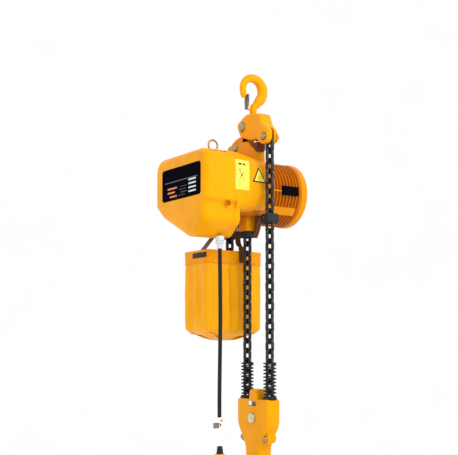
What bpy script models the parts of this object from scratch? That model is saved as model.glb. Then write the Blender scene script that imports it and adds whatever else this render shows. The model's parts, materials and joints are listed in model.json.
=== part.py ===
"""Electric chain hoist, 5 t class, two falls of chain. Metres, +Z up.

The origin is the point where the top hook's bowl rests on what holds it. X runs along the
motor axis, with the controls at -X and the motor at +X. The two falls of chain hang in the
plane X = 0, and -Y is the side of the load chain's dead end.
"""
import bpy
import bmesh
import math
from mathutils import Matrix, Vector

MM = 0.001
WELD = 0.01 * MM                # vertices closer than this are one vertex
GAP = 0.3 * MM                  # clearance between pieces that rest on each other

# Chain and falls
PITCH = 34.0 * MM               # inner length of one link
CHAIN_WIDTH = 37.0 * MM
CHAIN_WIRE = 11.2 * MM
LIVE_Y = 36.0 * MM              # fall that the load wheel lifts
FALL_SPACING = 132.0 * MM       # pitch diameter of the six-pocket sheave
DEAD_Y = LIVE_Y - FALL_SPACING  # fall that ends at the yoke
BLOCK_Y = (LIVE_Y + DEAD_Y) / 2
LIFT = 10 * PITCH               # travel of the bottom block

# Body
AXIS_Y = 91.0 * MM              # motor and load wheel axis
AXIS_Z = -367.0 * MM
WHEEL_PITCH_R = AXIS_Y - LIVE_Y
SLACK_Y = AXIS_Y + WHEEL_PITCH_R
COVER_END_X = -245.0 * MM
COVER_X = -128.0 * MM           # joint face between the control cover and the gear plate
PLATE = 8.0 * MM                # thickness of the gear plate
FLANGE_X = -98.0 * MM           # end of the casing's deep flange
CASING_X = 24.0 * MM            # joint face between the gear casing and the motor
MOTOR_X = 196.0 * MM            # joint face between the motor housing and the fan cover
MOTOR_END_X = 232.0 * MM
BODY_HALF_Y = 163.0 * MM
BODY_TOP_Z = -258.0 * MM
CASING_BOTTOM_Z = -462.0 * MM
COVER_BOTTOM_Z = -545.0 * MM
MOTOR_R = 113.0 * MM
WALL = 6.0 * MM

# Yoke
PIN_Y, PIN_Z = 30.0 * MM, -152.0 * MM
DEAD_PIN_Z = -207.0 * MM
YOKE_TOP_Z = -106.0 * MM
YOKE_HALF_X = 25.0 * MM
LUG_HALF_X = 23.0 * MM
LUG_BOLT = (78.0 * MM, -220.0 * MM)
EYE_X, EYE_Y = -161.0 * MM, 10.0 * MM

TOP_LATCH_Z = -92.0 * MM        # hinge of the top hook's latch
BOTTOM_LATCH_Z = -1315.0 * MM

# Gear train: two stages with the same centre distance
CENTRE_DISTANCE = 60.0 * MM
FIRST_MODULE, FIRST_PINION, FIRST_GEAR = 2.5 * MM, 12, 36
SECOND_MODULE, SECOND_PINION, SECOND_GEAR = 2.0 * MM, 12, 48

# Bottom block
SHEAVE_Z = -1162.0 * MM
SHEAVE_R = 62.0 * MM
BLOCK_R = 89.0 * MM
BLOCK_TOP_Z = -1097.0 * MM
BLOCK_HALF_X = 28.0 * MM
EAR_HALF_X = 16.0 * MM          # ears that the clamping bolts go through
CLAMP_SPACING = 132.0 * MM
CLAMP_Z = -1231.0 * MM
NECK_BOTTOM_Z = -1306.0 * MM
SPRING_HEIGHT = 124.0 * MM
CHAIN_SPLIT_Z = BLOCK_TOP_Z + LIFT

# Bag, cable and pendant
BAG_CENTRE = (-30.0 * MM, 146.0 * MM)
BAG_SIZE = (236.0 * MM, 156.0 * MM)
BAG_TOP_Z, BAG_BOTTOM_Z = -580.0 * MM, -898.0 * MM
CABLE_X, CABLE_Y = -152.0 * MM, -19.0 * MM
CABLE_R = 7.0 * MM
CABLE_ROUTE = [(-152.0, -19.0, -588.3), (-151.2, -19.4, -690.0), (-150.6, -19.8, -790.0),
               (-151.0, -19.5, -890.0), (-152.2, -18.9, -990.0), (-153.2, -18.4, -1090.0),
               (-153.0, -18.6, -1180.0), (-152.0, -19.0, -1253.7)]
GLAND_BOTTOM_Z = -588.0 * MM
PENDANT_TOP_Z = -1254.0 * MM
PENDANT_HEIGHT = 206.0 * MM


def material(name, color, roughness, metallic=0.0):
    found = bpy.data.materials.get(name)
    if found:
        return found
    made = bpy.data.materials.new(name)
    made.use_nodes = True
    shader = made.node_tree.nodes["Principled BSDF"]
    shader.inputs["Base Color"].default_value = (*color, 1.0)
    shader.inputs["Roughness"].default_value = roughness
    shader.inputs["Metallic"].default_value = metallic
    return made


def paint():
    return material("yellow_paint", (0.90, 0.42, 0.02), 0.35)


def steel():
    return material("bright_steel", (0.60, 0.60, 0.58), 0.35, 1.0)


def dark_steel():
    return material("dark_steel", (0.05, 0.05, 0.055), 0.45, 0.8)


def black_rubber():
    return material("black_rubber", (0.02, 0.02, 0.02), 0.75)


def finish(name, bm, mat, smooth_angle=35.0):
    """Turn a bmesh into a named object with outward faces."""
    bmesh.ops.recalc_face_normals(bm, faces=bm.faces)
    mesh = bpy.data.meshes.new(name)
    bm.to_mesh(mesh)
    bm.free()
    mesh.materials.append(mat)
    mesh.shade_smooth()
    mesh.set_sharp_from_angle(angle=math.radians(smooth_angle))
    obj = bpy.data.objects.new(name, mesh)
    bpy.context.scene.collection.objects.link(obj)
    return obj


def rounded(corners, steps=5):
    """Outline through corners (u, v, radius), each rounded by an arc."""
    points = []
    for i, (u, v, radius) in enumerate(corners):
        here = Vector((u, v))
        before = (Vector(corners[i - 1][:2]) - here).normalized()
        after = (Vector(corners[(i + 1) % len(corners)][:2]) - here).normalized()
        if radius <= 0:
            points.append(here)
            continue
        half = before.angle(after) / 2
        centre = here + (before + after).normalized() * radius / math.sin(half)
        start = here + before * radius / math.tan(half) - centre
        end = here + after * radius / math.tan(half) - centre
        sweep = start.angle_signed(end)
        for k in range(steps + 1):
            points.append(centre + Matrix.Rotation(-sweep * k / steps, 2) @ start)
    return points


def box_outline(u0, u1, v0, v1, radius, steps=5):
    return rounded([(u0, v0, radius), (u1, v0, radius), (u1, v1, radius), (u0, v1, radius)], steps)


def circle(u, v, radius, sides=32, phase=0.0):
    turn = [phase + math.tau * k / sides for k in range(sides)]
    return [Vector((u + radius * math.cos(a), v + radius * math.sin(a))) for a in turn]


def to_world(axis, u, v, along):
    """A point of an outline drawn square to an axis: (y, z), (x, z) or (x, y)."""
    return {"x": (along, u, v), "y": (u, along, v), "z": (u, v, along)}[axis]


def loft(name, axis, sections, mat, smooth_angle=35.0):
    """Closed solid through (along, outline) sections with equal point counts."""
    bm = bmesh.new()
    rings = [[bm.verts.new(to_world(axis, p[0], p[1], along)) for p in outline]
             for along, outline in sections]
    for low, high in zip(rings, rings[1:]):
        for i in range(len(low)):
            j = (i + 1) % len(low)
            bm.faces.new((low[i], low[j], high[j], high[i]))
    bm.faces.new(rings[0])
    bm.faces.new(rings[-1])
    return finish(name, bm, mat, smooth_angle)


def prism(name, axis, outline, low, high, mat, chamfer=0.0):
    """Extruded outline, with its two end edges chamfered inward."""
    if chamfer <= 0:
        return loft(name, axis, [(low, outline), (high, outline)], mat)
    inner = shrink(outline, chamfer)
    return loft(name, axis, [(low, inner), (low + chamfer, outline),
                             (high - chamfer, outline), (high, inner)], mat)


def shrink(outline, amount):
    """Outline moved inward by an amount, point by point."""
    area = sum(a.x * b.y - b.x * a.y for a, b in zip(outline, outline[1:] + outline[:1]))
    side = 1.0 if area > 0 else -1.0
    moved = []
    for i, here in enumerate(outline):
        along = (outline[(i + 1) % len(outline)] - outline[i - 1]).normalized()
        moved.append(here + Vector((-along.y, along.x)) * side * amount)
    return moved


def lathe(name, axis, centre, profile, mat, sides=32, phase=0.0):
    """Turned solid from (radius, along) points. A radius of 0 closes an end on the axis."""
    bm = bmesh.new()
    rings = []
    for radius, along in profile:
        if radius <= 0:
            rings.append([bm.verts.new(to_world(axis, centre[0], centre[1], along))])
            continue
        rings.append([bm.verts.new(to_world(axis, p.x, p.y, along))
                      for p in circle(centre[0], centre[1], radius, sides, phase)])
    closed = profile[0][0] > 0
    pairs = list(zip(rings, rings[1:])) + ([(rings[-1], rings[0])] if closed else [])
    for low, high in pairs:
        for i in range(sides):
            j = (i + 1) % sides
            quad = [low[i % len(low)], low[j % len(low)], high[j % len(high)], high[i % len(high)]]
            bm.faces.new(list(dict.fromkeys(quad)))
    return finish(name, bm, mat)


def rod(name, axis, centre, radius, low, high, mat, sides=24):
    return lathe(name, axis, centre, [(0, low), (radius, low), (radius, high), (0, high)], mat, sides)


def ring(name, axis, centre, inner, outer, low, high, mat, sides=32):
    profile = [(inner, low), (outer, low), (outer, high), (inner, high)]
    return lathe(name, axis, centre, profile, mat, sides)


def combine(obj, others, operation):
    """Apply a Boolean with each of the other solids in turn, and delete them."""
    for other in others:
        modifier = obj.modifiers.new(operation.lower(), "BOOLEAN")
        modifier.operation = operation
        modifier.object = other
        modifier.solver = "EXACT"
        evaluated = obj.evaluated_get(bpy.context.evaluated_depsgraph_get())
        mesh = bpy.data.meshes.new_from_object(evaluated)
        obj.modifiers.clear()
        weld(mesh)
        obj.data = mesh
        bpy.data.objects.remove(other)
    return obj


def weld(mesh):
    """Close the hairline slivers that a Boolean leaves."""
    bm = bmesh.new()
    bm.from_mesh(mesh)
    bmesh.ops.remove_doubles(bm, verts=bm.verts, dist=WELD)
    bmesh.ops.dissolve_degenerate(bm, edges=bm.edges, dist=WELD)
    bmesh.ops.triangulate(bm, faces=[f for f in bm.faces if len(f.verts) > 4])
    bm.to_mesh(mesh)
    bm.free()


def cut(obj, *others):
    return combine(obj, others, "DIFFERENCE")


def join(obj, *others):
    return combine(obj, others, "UNION")


def sweep(name, stations, mat, sides=12, normal=Vector((0, 1, 0))):
    """Solid swept through (centre, across, deep) stations that lie square to a normal."""
    bm = bmesh.new()
    rings = []
    centres = [Vector(s[0]) for s in stations]
    for i, (centre, across, deep) in enumerate(stations):
        ahead = centres[min(i + 1, len(centres) - 1)] - centres[max(i - 1, 0)]
        side = normal.cross(ahead.normalized())
        rings.append([bm.verts.new(Vector(centre) + side * across / 2 * math.cos(math.tau * k / sides)
                                   + normal * deep / 2 * math.sin(math.tau * k / sides))
                      for k in range(sides)])
    for low, high in zip(rings, rings[1:]):
        for i in range(sides):
            j = (i + 1) % sides
            bm.faces.new((low[i], low[j], high[j], high[i]))
    bm.faces.new(rings[0])
    bm.faces.new(rings[-1])
    return finish(name, bm, mat, 50.0)


def hook_stations(x, y, seat_z, up, bowl_r, body, neck, neck_length):
    """Stations of a hook in the XZ plane, from its tip round the bowl to its neck.

    up is +1 for a hook whose bowl is on top and -1 for one that hangs. The mouth is at -X.
    """
    centre_z = seat_z - up * bowl_r
    stations = []
    for k in range(13):
        angle = math.radians(200 - 245 * k / 12)
        thick = body * (0.62 + 0.38 * min(1.0, k / 9) ** 1.6)
        radius = bowl_r + thick / 2
        stations.append(((x + radius * math.cos(angle) - 6 * MM, y,
                          centre_z + up * radius * math.sin(angle)), thick, thick * 0.86))
    tip = stations[0][0]
    stations.insert(0, ((tip[0] + 0.5 * MM, y, tip[2] - up * 17 * MM), body * 0.36, body * 0.5))
    last = Vector(stations[-1][0])
    neck_z = centre_z - up * (bowl_r + body * 0.98)
    for share in (0.35, 0.7):
        spot = last.lerp(Vector((x, y, neck_z)), share)
        size = neck + (body - neck) * (1 - share) ** 2
        stations.append((tuple(spot), size, size))
    stations.append(((x, y, neck_z), neck, neck))
    stations.append(((x, y, neck_z - up * neck_length), neck, neck))
    return stations


def latch_ear(y, hinge_z):
    """Small ear on a hook's neck that carries its latch."""
    return prism("ear", "y", rounded([(-31 * MM, hinge_z - 4 * MM, 3.9 * MM), (-31 * MM, hinge_z + 4 * MM, 3.9 * MM),
                                      (-4 * MM, hinge_z + 4 * MM, 0), (-4 * MM, hinge_z - 4 * MM, 0)], 3),
                 y - 4 * MM, y + 4 * MM, paint())


def top_hook():
    hook = sweep("top_hook", hook_stations(0, 0, 0, 1, 27.5 * MM, 36 * MM, 24 * MM, 48 * MM), paint())
    return join(hook, latch_ear(0, TOP_LATCH_Z))


def hook_nut(name, y, low, high, mat):
    """Round nut, screwed and pinned on a hook's shank."""
    return ring(name, "z", (0, y), 12.3 * MM, 17 * MM, low, high, mat, 24)


def latch(name, y, hinge_z, up):
    """Sheet-steel latch that closes a hook's mouth. Its two cheeks stand beside the neck's ear."""
    foot = Vector((-27 * MM, hinge_z))
    tip = Vector((-26 * MM, hinge_z + up * 48 * MM))
    outline = [foot + Vector((-2.5 * MM, -up * 4 * MM)), tip + Vector((-2.5 * MM, 0)),
               tip + Vector((2 * MM, 0)), foot + Vector((3.5 * MM, -up * 4 * MM))]
    plate = prism(name, "y", outline, y - 9 * MM, y + 9 * MM, dark_steel())
    low, high = sorted((hinge_z - up * 9 * MM, hinge_z + up * 8 * MM))
    return cut(plate, prism("fork", "y", box_outline(-50 * MM, 0, low, high, 1 * MM, 1),
                            y - 4.5 * MM, y + 4.5 * MM, dark_steel()))


def yoke_outline():
    """Side view (y, z) of the yoke: a lobe round each pin and a flat top round the shank."""
    return rounded([(-66 * MM, -116 * MM, 5 * MM), (-84 * MM, -160 * MM, 14 * MM),
                    (-122 * MM, -186 * MM, 16 * MM), (-122 * MM, -230 * MM, 22 * MM),
                    (-78 * MM, -230 * MM, 20 * MM), (-52 * MM, -208 * MM, 12 * MM),
                    (-14 * MM, -206 * MM, 10 * MM), (45 * MM, -186 * MM, 8 * MM),
                    (70 * MM, -136 * MM, 12 * MM), (16 * MM, YOKE_TOP_Z, 6 * MM),
                    (-20 * MM, YOKE_TOP_Z, 6 * MM), (-30 * MM, -114 * MM, 6 * MM)], 4)


def yoke_half(name, side):
    """One cast half of the yoke. The halves clamp the hook's nut between them."""
    near, far = GAP / 2, YOKE_HALF_X
    low, high = sorted((side * near, side * far))
    half = prism(name, "x", yoke_outline(), low, high, paint(), 3 * MM)
    reach = 60 * MM
    cutters = [
        rod("shank_bore", "z", (0, 0), 12.6 * MM, -130 * MM, -90 * MM, paint()),
        rod("nut_pocket", "z", (0, 0), 17.6 * MM, -141 * MM, -120 * MM, paint()),
        prism("lug_slot", "x", box_outline(11 * MM, 90 * MM, -230 * MM, -130 * MM, 0.1 * MM, 1),
              -13.6 * MM, 13.6 * MM, paint()),
        prism("chain_slot", "x", box_outline(-140 * MM, -72 * MM, -250 * MM, -174 * MM, 0.1 * MM, 1),
              -9 * MM, 9 * MM, paint()),
        rod("pin_bore", "x", (PIN_Y, PIN_Z), 11.3 * MM, -reach, reach, paint()),
        rod("dead_pin_bore", "x", (DEAD_Y, DEAD_PIN_Z), 7.3 * MM, -reach, reach, paint()),
    ]
    return cut(half, *cutters)


def headed_pin(name, y, z, radius, half, head_r, head, mat):
    """Pin along X with a domed head at its -X end and a nut at its +X end."""
    profile = [(0, -half - head), (head_r * 0.7, -half - head), (head_r, -half - head * 0.55),
               (head_r, -half - GAP), (radius, -half - GAP), (radius, half + GAP),
               (head_r * 0.85, half + GAP), (head_r * 0.85, half + head), (0, half + head)]
    return lathe(name, "x", (y, z), profile, mat, 20)


def suspension_lug():
    """Half-round lug on the gear casing. Its tongue goes up between the yoke's halves."""
    foot = BODY_TOP_Z - 4 * MM + GAP
    base = rounded([(-40 * MM, foot, 0), (-34 * MM, -240 * MM, 10 * MM), (10 * MM, -204 * MM, 24 * MM),
                    (118 * MM, -203.5 * MM, 14 * MM), (140 * MM, -224 * MM, 14 * MM), (150 * MM, foot, 0)], 5)
    lug = prism("suspension_lug", "x", base, -LUG_HALF_X, LUG_HALF_X, paint(), 2 * MM)
    arc = [(60 * MM + 95 * MM * math.cos(a), -275 * MM + 95 * MM * math.sin(a))
           for a in [math.radians(9 + 110 * k / 20) for k in range(21)]]
    web = [(arc[-1][0], foot), (arc[0][0], foot), *arc]
    join(lug, prism("web", "x", web, -13 * MM, 13 * MM, paint()))
    tongue = rounded([(PIN_Y - 18 * MM, -230 * MM, 0), (PIN_Y - 18 * MM, PIN_Z + 18 * MM, 17.8 * MM),
                      (PIN_Y + 18 * MM, PIN_Z + 18 * MM, 17.8 * MM), (PIN_Y + 18 * MM, -230 * MM, 0)], 6)
    join(lug, prism("tongue", "x", tongue, -13 * MM, 13 * MM, paint()))
    return cut(lug, rod("pin_bore", "x", (PIN_Y, PIN_Z), 11.3 * MM, -40 * MM, 40 * MM, paint()),
               rod("bolt_bore", "x", LUG_BOLT, 8.3 * MM, -40 * MM, 40 * MM, paint()))


def casing_outline(inset=0.0):
    """Section (y, z) of the gear casing."""
    y0, y1 = AXIS_Y - BODY_HALF_Y + inset, AXIS_Y + BODY_HALF_Y - inset
    top, bottom = BODY_TOP_Z - 4 * MM - inset, CASING_BOTTOM_Z + inset
    corner = 58 * MM - inset
    return box_outline(y0, y1, bottom, top, corner, 6)


def cover_outline(inset=0.0):
    """Section (y, z) of the control cover: an eight-sided form, narrower below."""
    y0, y1 = AXIS_Y - BODY_HALF_Y - 4 * MM + inset, AXIS_Y + BODY_HALF_Y + 4 * MM - inset
    top, bottom = BODY_TOP_Z - inset, COVER_BOTTOM_Z + inset
    step = 14 * MM
    return rounded([(y0, top, 48 * MM - inset), (y0, -428 * MM, 10 * MM), (y0 + step, -440 * MM, 10 * MM),
                    (y0 + step, bottom + 46 * MM, 30 * MM), (y0 + 70 * MM, bottom, 30 * MM),
                    (y1 - 206 * MM, bottom, 40 * MM), (y1 - 48 * MM, bottom + 76 * MM, 24 * MM),
                    (y1, -428 * MM, 10 * MM), (y1, top, 48 * MM - inset)], 4)


def control_cover():
    """Deep pan over the electrical gear, open towards the casing."""
    shapes = [(COVER_END_X, shrink(cover_outline(), 13 * MM)),
              (COVER_END_X + 4 * MM, shrink(cover_outline(), 7 * MM)),
              (COVER_END_X + 12 * MM, shrink(cover_outline(), 3 * MM)),
              (COVER_END_X + 26 * MM, cover_outline()), (COVER_X - GAP, cover_outline())]
    cover = loft("control_cover", "x", shapes, paint(), 30.0)
    hollow = loft("hollow", "x", [(COVER_END_X + 12 * MM, shrink(cover_outline(), 13 * MM)),
                                  (COVER_END_X + 30 * MM, shrink(cover_outline(), WALL)),
                                  (COVER_X + 10 * MM, shrink(cover_outline(), WALL))], paint())
    return cut(cover, hollow)


def gear_casing():
    """Casing of the gears and the load wheel: open at both ends, with slots for the chain.

    Its end at the controls is a deep flange with the cover's outline.
    """
    start = COVER_X + PLATE + GAP
    casing = prism("gear_casing", "x", casing_outline(), start + 2 * MM, CASING_X - GAP, paint(), 2 * MM)
    join(casing, prism("flange", "x", cover_outline(), start, FLANGE_X, paint(), 1 * MM))
    hollow = prism("hollow", "x", casing_outline(WALL), COVER_X, CASING_X + 10 * MM, paint())
    half = CHAIN_WIDTH / 2 + 4 * MM
    slots = [prism("slot", "z", box_outline(-half, half, y - half, y + half, 6 * MM, 2),
                   CASING_BOTTOM_Z - 10 * MM, CASING_BOTTOM_Z + 20 * MM, paint())
             for y in (LIVE_Y, SLACK_Y)]
    return cut(casing, hollow, *slots)


def gear_plate():
    """Plate between the gear room and the control room. It carries the shafts' outer bearing."""
    plate = prism("gear_plate", "x", shrink(cover_outline(), 3 * MM), COVER_X + GAP, COVER_X + PLATE,
                  material("cast_aluminium", (0.62, 0.62, 0.62), 0.5, 0.9))
    return cut(plate, rod("bearing_seat", "x", (AXIS_Y, AXIS_Z), 14 * MM, COVER_X - PLATE,
                          COVER_X + 2 * PLATE, paint()))


def motor_housing():
    """Ribbed motor housing with a smooth terminal pad on its near lower side."""
    fins = 8
    start, end = 62 * MM, MOTOR_X - GAP
    step = (end - start) / fins
    profile = [(MOTOR_R - 3 * MM, CASING_X), (MOTOR_R, CASING_X + 3 * MM), (MOTOR_R, start)]
    for k in range(fins):
        at = start + k * step
        profile += [(MOTOR_R - 11 * MM, at + step * 0.12), (MOTOR_R - 11 * MM, at + step * 0.5),
                    (MOTOR_R, at + step * 0.62), (MOTOR_R, at + step)]
    profile += [(MOTOR_R - 22 * MM, end), (MOTOR_R - 22 * MM, CASING_X)]
    housing = lathe("motor_housing", "x", (AXIS_Y, AXIS_Z), profile, paint(), 32)
    return housing


def fan_cover():
    """Domed cover over the cooling fan and the brake, with air slots in its end."""
    profile = [(MOTOR_R - 3 * MM, MOTOR_X + GAP), (MOTOR_R, MOTOR_X + 3 * MM), (MOTOR_R, 214 * MM),
               (MOTOR_R - 8 * MM, 226 * MM), (MOTOR_R - 26 * MM, MOTOR_END_X), (0, MOTOR_END_X),
               (0, MOTOR_END_X - 4 * MM), (MOTOR_R - 28 * MM, MOTOR_END_X - 4 * MM),
               (MOTOR_R - 12 * MM, 222 * MM), (MOTOR_R - 5 * MM, 212 * MM), (MOTOR_R - 5 * MM, MOTOR_X + GAP)]
    cover = lathe("fan_cover", "x", (AXIS_Y, AXIS_Z), profile[:6], paint(), 32)
    hollow = lathe("hollow", "x", (AXIS_Y, AXIS_Z), [(0, MOTOR_X - 5 * MM), (MOTOR_R - 5 * MM, MOTOR_X - 5 * MM)]
                   + profile[9:6:-1] + [(0, MOTOR_END_X - 4 * MM)], paint(), 32)
    cut(cover, hollow)
    slots = []
    for row in range(-2, 3):
        z = AXIS_Z + row * 28 * MM
        slots.append(prism("air_slot", "x", box_outline(AXIS_Y - 48 * MM, AXIS_Y + 48 * MM, z - 4 * MM,
                                                        z + 4 * MM, 1 * MM, 1),
                           MOTOR_END_X - 12 * MM, MOTOR_END_X + 10 * MM, paint()))
    return cut(cover, *slots)


def gear_outline(y, z, module, teeth, phase=0.0):
    """Straight-flanked gear teeth with some backlash."""
    pitch_r = module * teeth / 2
    root, tip = pitch_r - 1.25 * module, pitch_r + 0.85 * module
    step = math.tau / teeth
    points = []
    for k in range(teeth):
        middle = phase + k * step
        for radius, offset in ((root, -0.30), (tip, -0.12), (tip, 0.12), (root, 0.30)):
            angle = middle + offset * step
            points.append(Vector((y + radius * math.cos(angle), z + radius * math.sin(angle))))
    return points


def rotor_shaft():
    """Motor shaft, through the load wheel, with the first pinion cut on its end."""
    shaft = rod("rotor_shaft", "x", (AXIS_Y, AXIS_Z), 8 * MM, COVER_X - 2 * MM, 218 * MM, steel(), 16)
    pinion = prism("pinion", "x", gear_outline(AXIS_Y, AXIS_Z, FIRST_MODULE, FIRST_PINION),
                   -84 * MM, -64 * MM, steel())
    return join(shaft, pinion)


def countershaft():
    """First gear and second pinion on one shaft."""
    y = AXIS_Y + CENTRE_DISTANCE
    half_tooth = math.pi / FIRST_GEAR
    gear = prism("countershaft", "x", gear_outline(y, AXIS_Z, FIRST_MODULE, FIRST_GEAR, math.pi + half_tooth),
                 -83 * MM, -65 * MM, dark_steel())
    shaft = rod("shaft", "x", (y, AXIS_Z), 7 * MM, -86 * MM, -30 * MM, dark_steel(), 16)
    pinion = prism("pinion", "x", gear_outline(y, AXIS_Z, SECOND_MODULE, SECOND_PINION, math.pi),
                   -64.9 * MM, -38 * MM, dark_steel())
    return join(gear, shaft, pinion)


def output_gear():
    """Second gear, keyed on the load wheel's sleeve, with the shaft passing through it."""
    half_tooth = math.pi / SECOND_GEAR
    gear = prism("output_gear", "x", gear_outline(AXIS_Y, AXIS_Z, SECOND_MODULE, SECOND_GEAR, half_tooth),
                 -58 * MM, -38 * MM, dark_steel())
    return cut(gear, rod("sleeve_bore", "x", (AXIS_Y, AXIS_Z), 15.3 * MM, -70 * MM, -20 * MM, steel()))


def load_wheel():
    """Wheel that drives the chain: two flanges, a groove and five pockets."""
    profile = [(10 * MM, -60 * MM), (15 * MM, -60 * MM), (15 * MM, -22 * MM), (47 * MM, -22 * MM),
               (47 * MM, -8 * MM), (36 * MM, -6.5 * MM), (36 * MM, 6.5 * MM), (47 * MM, 8 * MM),
               (47 * MM, 22 * MM), (10 * MM, 22 * MM)]
    return lathe("load_wheel", "x", (AXIS_Y, AXIS_Z), profile, dark_steel(), 30)


def sheave():
    """Idler sheave of the bottom block."""
    profile = [(12.1 * MM, -20 * MM), (30 * MM, -20 * MM), (SHEAVE_R - 4 * MM, -20 * MM), (SHEAVE_R, -16 * MM),
               (SHEAVE_R, -8 * MM), (48 * MM, -6.5 * MM), (48 * MM, 6.5 * MM), (SHEAVE_R, 8 * MM),
               (SHEAVE_R, 16 * MM), (SHEAVE_R - 4 * MM, 20 * MM), (12.1 * MM, 20 * MM)]
    return lathe("sheave", "x", (BLOCK_Y, SHEAVE_Z), profile, dark_steel(), 36)


def inside_the_motor():
    copper = material("copper", (0.55, 0.25, 0.10), 0.4, 1.0)
    ring("stator", "x", (AXIS_Y, AXIS_Z), 56 * MM, MOTOR_R - 22.5 * MM, 70 * MM, 160 * MM, copper, 32)
    ring("rotor", "x", (AXIS_Y, AXIS_Z), 8.3 * MM, 55 * MM, 72 * MM, 158 * MM, steel(), 32)
    ring("brake_coil", "x", (AXIS_Y, AXIS_Z), 20 * MM, 60 * MM, 166 * MM, 180 * MM, copper, 24)
    ring("brake_disc", "x", (AXIS_Y, AXIS_Z), 8.3 * MM, 62 * MM, 181 * MM, 189 * MM, dark_steel(), 32)
    ring("shaft_bearing", "x", (AXIS_Y, AXIS_Z), 8.3 * MM, 13.6 * MM, COVER_X + 1 * MM, COVER_X + PLATE,
         steel(), 24)


def fan():
    plastic = material("fan_plastic", (0.04, 0.04, 0.045), 0.5)
    hub = ring("fan", "x", (AXIS_Y, AXIS_Z), 8.3 * MM, 24 * MM, 196 * MM, 214 * MM, plastic, 24)
    blades = []
    for k in range(7):
        turn = math.tau * k / 7
        across = Vector((math.cos(turn), math.sin(turn)))
        side = Vector((-across.y, across.x)) * 1.5 * MM
        middle = Vector((AXIS_Y, AXIS_Z))
        inner, outer = middle + across * 22 * MM, middle + across * 88 * MM
        blades.append(prism("blade", "x", [inner - side, outer - side, outer + side, inner + side],
                            198 * MM, 212 * MM, plastic))
    return join(hub, *blades)


def controls():
    """Transformer and two contactors on the gear plate."""
    iron = material("transformer_iron", (0.20, 0.20, 0.22), 0.5, 0.6)
    case = material("contactor_case", (0.75, 0.75, 0.72), 0.5)
    back = COVER_X - GAP
    prism("transformer", "x", box_outline(10 * MM, 80 * MM, -510 * MM, -440 * MM, 3 * MM, 2),
          back - 70 * MM, back, iron, 2 * MM)
    for name, y in (("contactor_up", 20 * MM), ("contactor_down", 120 * MM)):
        prism(name, "x", box_outline(y, y + 56 * MM, -380 * MM, -300 * MM, 3 * MM, 2), back - 84 * MM,
              back, case, 2 * MM)


def chain_guide():
    """Guide below the casing that leads the live fall to the wheel, with a rubber collar lip."""
    half = CHAIN_WIDTH / 2
    guide = ring("chain_guide", "z", (0, LIVE_Y), half + 1 * MM, half + 5 * MM,
                 CASING_BOTTOM_Z - 58 * MM, CASING_BOTTOM_Z - GAP, paint(), 24)
    plate = prism("guard", "x", rounded([(LIVE_Y - 21.5 * MM, CASING_BOTTOM_Z - GAP, 0),
                                         (LIVE_Y - 52 * MM, CASING_BOTTOM_Z - GAP, 0),
                                         (LIVE_Y - 46 * MM, CASING_BOTTOM_Z - 40 * MM, 20 * MM),
                                         (LIVE_Y - 21.5 * MM, CASING_BOTTOM_Z - 76 * MM, 4 * MM)], 4),
                  -12 * MM, 14 * MM, paint())
    return join(guide, plate)


def limit_arm():
    """Arm that the block's spring lifts at the top of the travel. The dead fall passes through it."""
    half = CHAIN_WIDTH / 2 + 1.5 * MM
    low, high = -500 * MM, -466 * MM
    outer = half + 4.5 * MM
    arm = prism("limit_arm", "z", box_outline(-outer, outer, DEAD_Y - outer, DEAD_Y + outer, 6 * MM, 3),
                low, high, black_rubber(), 2 * MM)
    bar = prism("bar", "z", box_outline(-8 * MM, 8 * MM, DEAD_Y + half, -18 * MM, 2 * MM, 2), -478 * MM,
                -468 * MM, black_rubber())
    join(arm, bar)
    return cut(arm, prism("hole", "z", box_outline(-half, half, DEAD_Y - half, DEAD_Y + half, 4 * MM, 3),
                          low - 5 * MM, high + 5 * MM, black_rubber()))


def eyebolt():
    """Lifting eye on top of the control cover, standing on its collar."""
    x, y, base = EYE_X, EYE_Y, BODY_TOP_Z + GAP
    centre_z = base + 22 * MM
    bm = bmesh.new()
    rings = []
    for k in range(24):
        a = math.tau * k / 24
        out = Vector((math.cos(a), 0, math.sin(a)))
        spot = Vector((x, y, centre_z)) + out * 18 * MM
        rings.append([bm.verts.new(spot + out * 3 * MM * math.cos(b) + Vector((0, 3 * MM * math.sin(b), 0)))
                      for b in [math.tau * j / 8 for j in range(8)]])
    for i in range(24):
        low, high = rings[i], rings[(i + 1) % 24]
        for j in range(8):
            n = (j + 1) % 8
            bm.faces.new((low[j], low[n], high[n], high[j]))
    eye = finish("eyebolt", bm, steel())
    collar = rod("collar", "z", (x, y), 9 * MM, base, base + 6 * MM, steel(), 16)
    return join(eye, collar)


def cable_gland():
    """Clear clamp under the control cover that holds the pendant's cable."""
    top = COVER_BOTTOM_Z - GAP
    profile = [(0, top), (12 * MM, top), (12 * MM, top - 16 * MM), (9.5 * MM, GLAND_BOTTOM_Z),
               (0, GLAND_BOTTOM_Z)]
    return lathe("cable_gland", "z", (CABLE_X, CABLE_Y), profile,
                 material("clear_nylon", (0.85, 0.87, 0.90), 0.3), 20)


def chain_bag():
    """Fabric bag that holds the slack chain, open at its top."""
    (cx, cy), (wide, deep) = BAG_CENTRE, BAG_SIZE

    def section(grow, z):
        return z, box_outline(cx - wide / 2 - grow, cx + wide / 2 + grow, cy - deep / 2 - grow,
                              cy + deep / 2 + grow, 14 * MM, 4)
    bag = loft("chain_bag", "z", [section(-16 * MM, BAG_BOTTOM_Z), section(-5 * MM, BAG_BOTTOM_Z + 22 * MM),
                                  section(0, BAG_BOTTOM_Z + 80 * MM), section(0, BAG_TOP_Z)],
               material("yellow_fabric", (0.88, 0.45, 0.03), 0.8))
    hollow = loft("hollow", "z", [section(-20 * MM, BAG_BOTTOM_Z + 6 * MM), section(-9 * MM, BAG_BOTTOM_Z + 30 * MM),
                                  section(-5 * MM, BAG_BOTTOM_Z + 84 * MM), section(-5 * MM, BAG_TOP_Z + 10 * MM)],
                  paint())
    return cut(bag, hollow)


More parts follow.
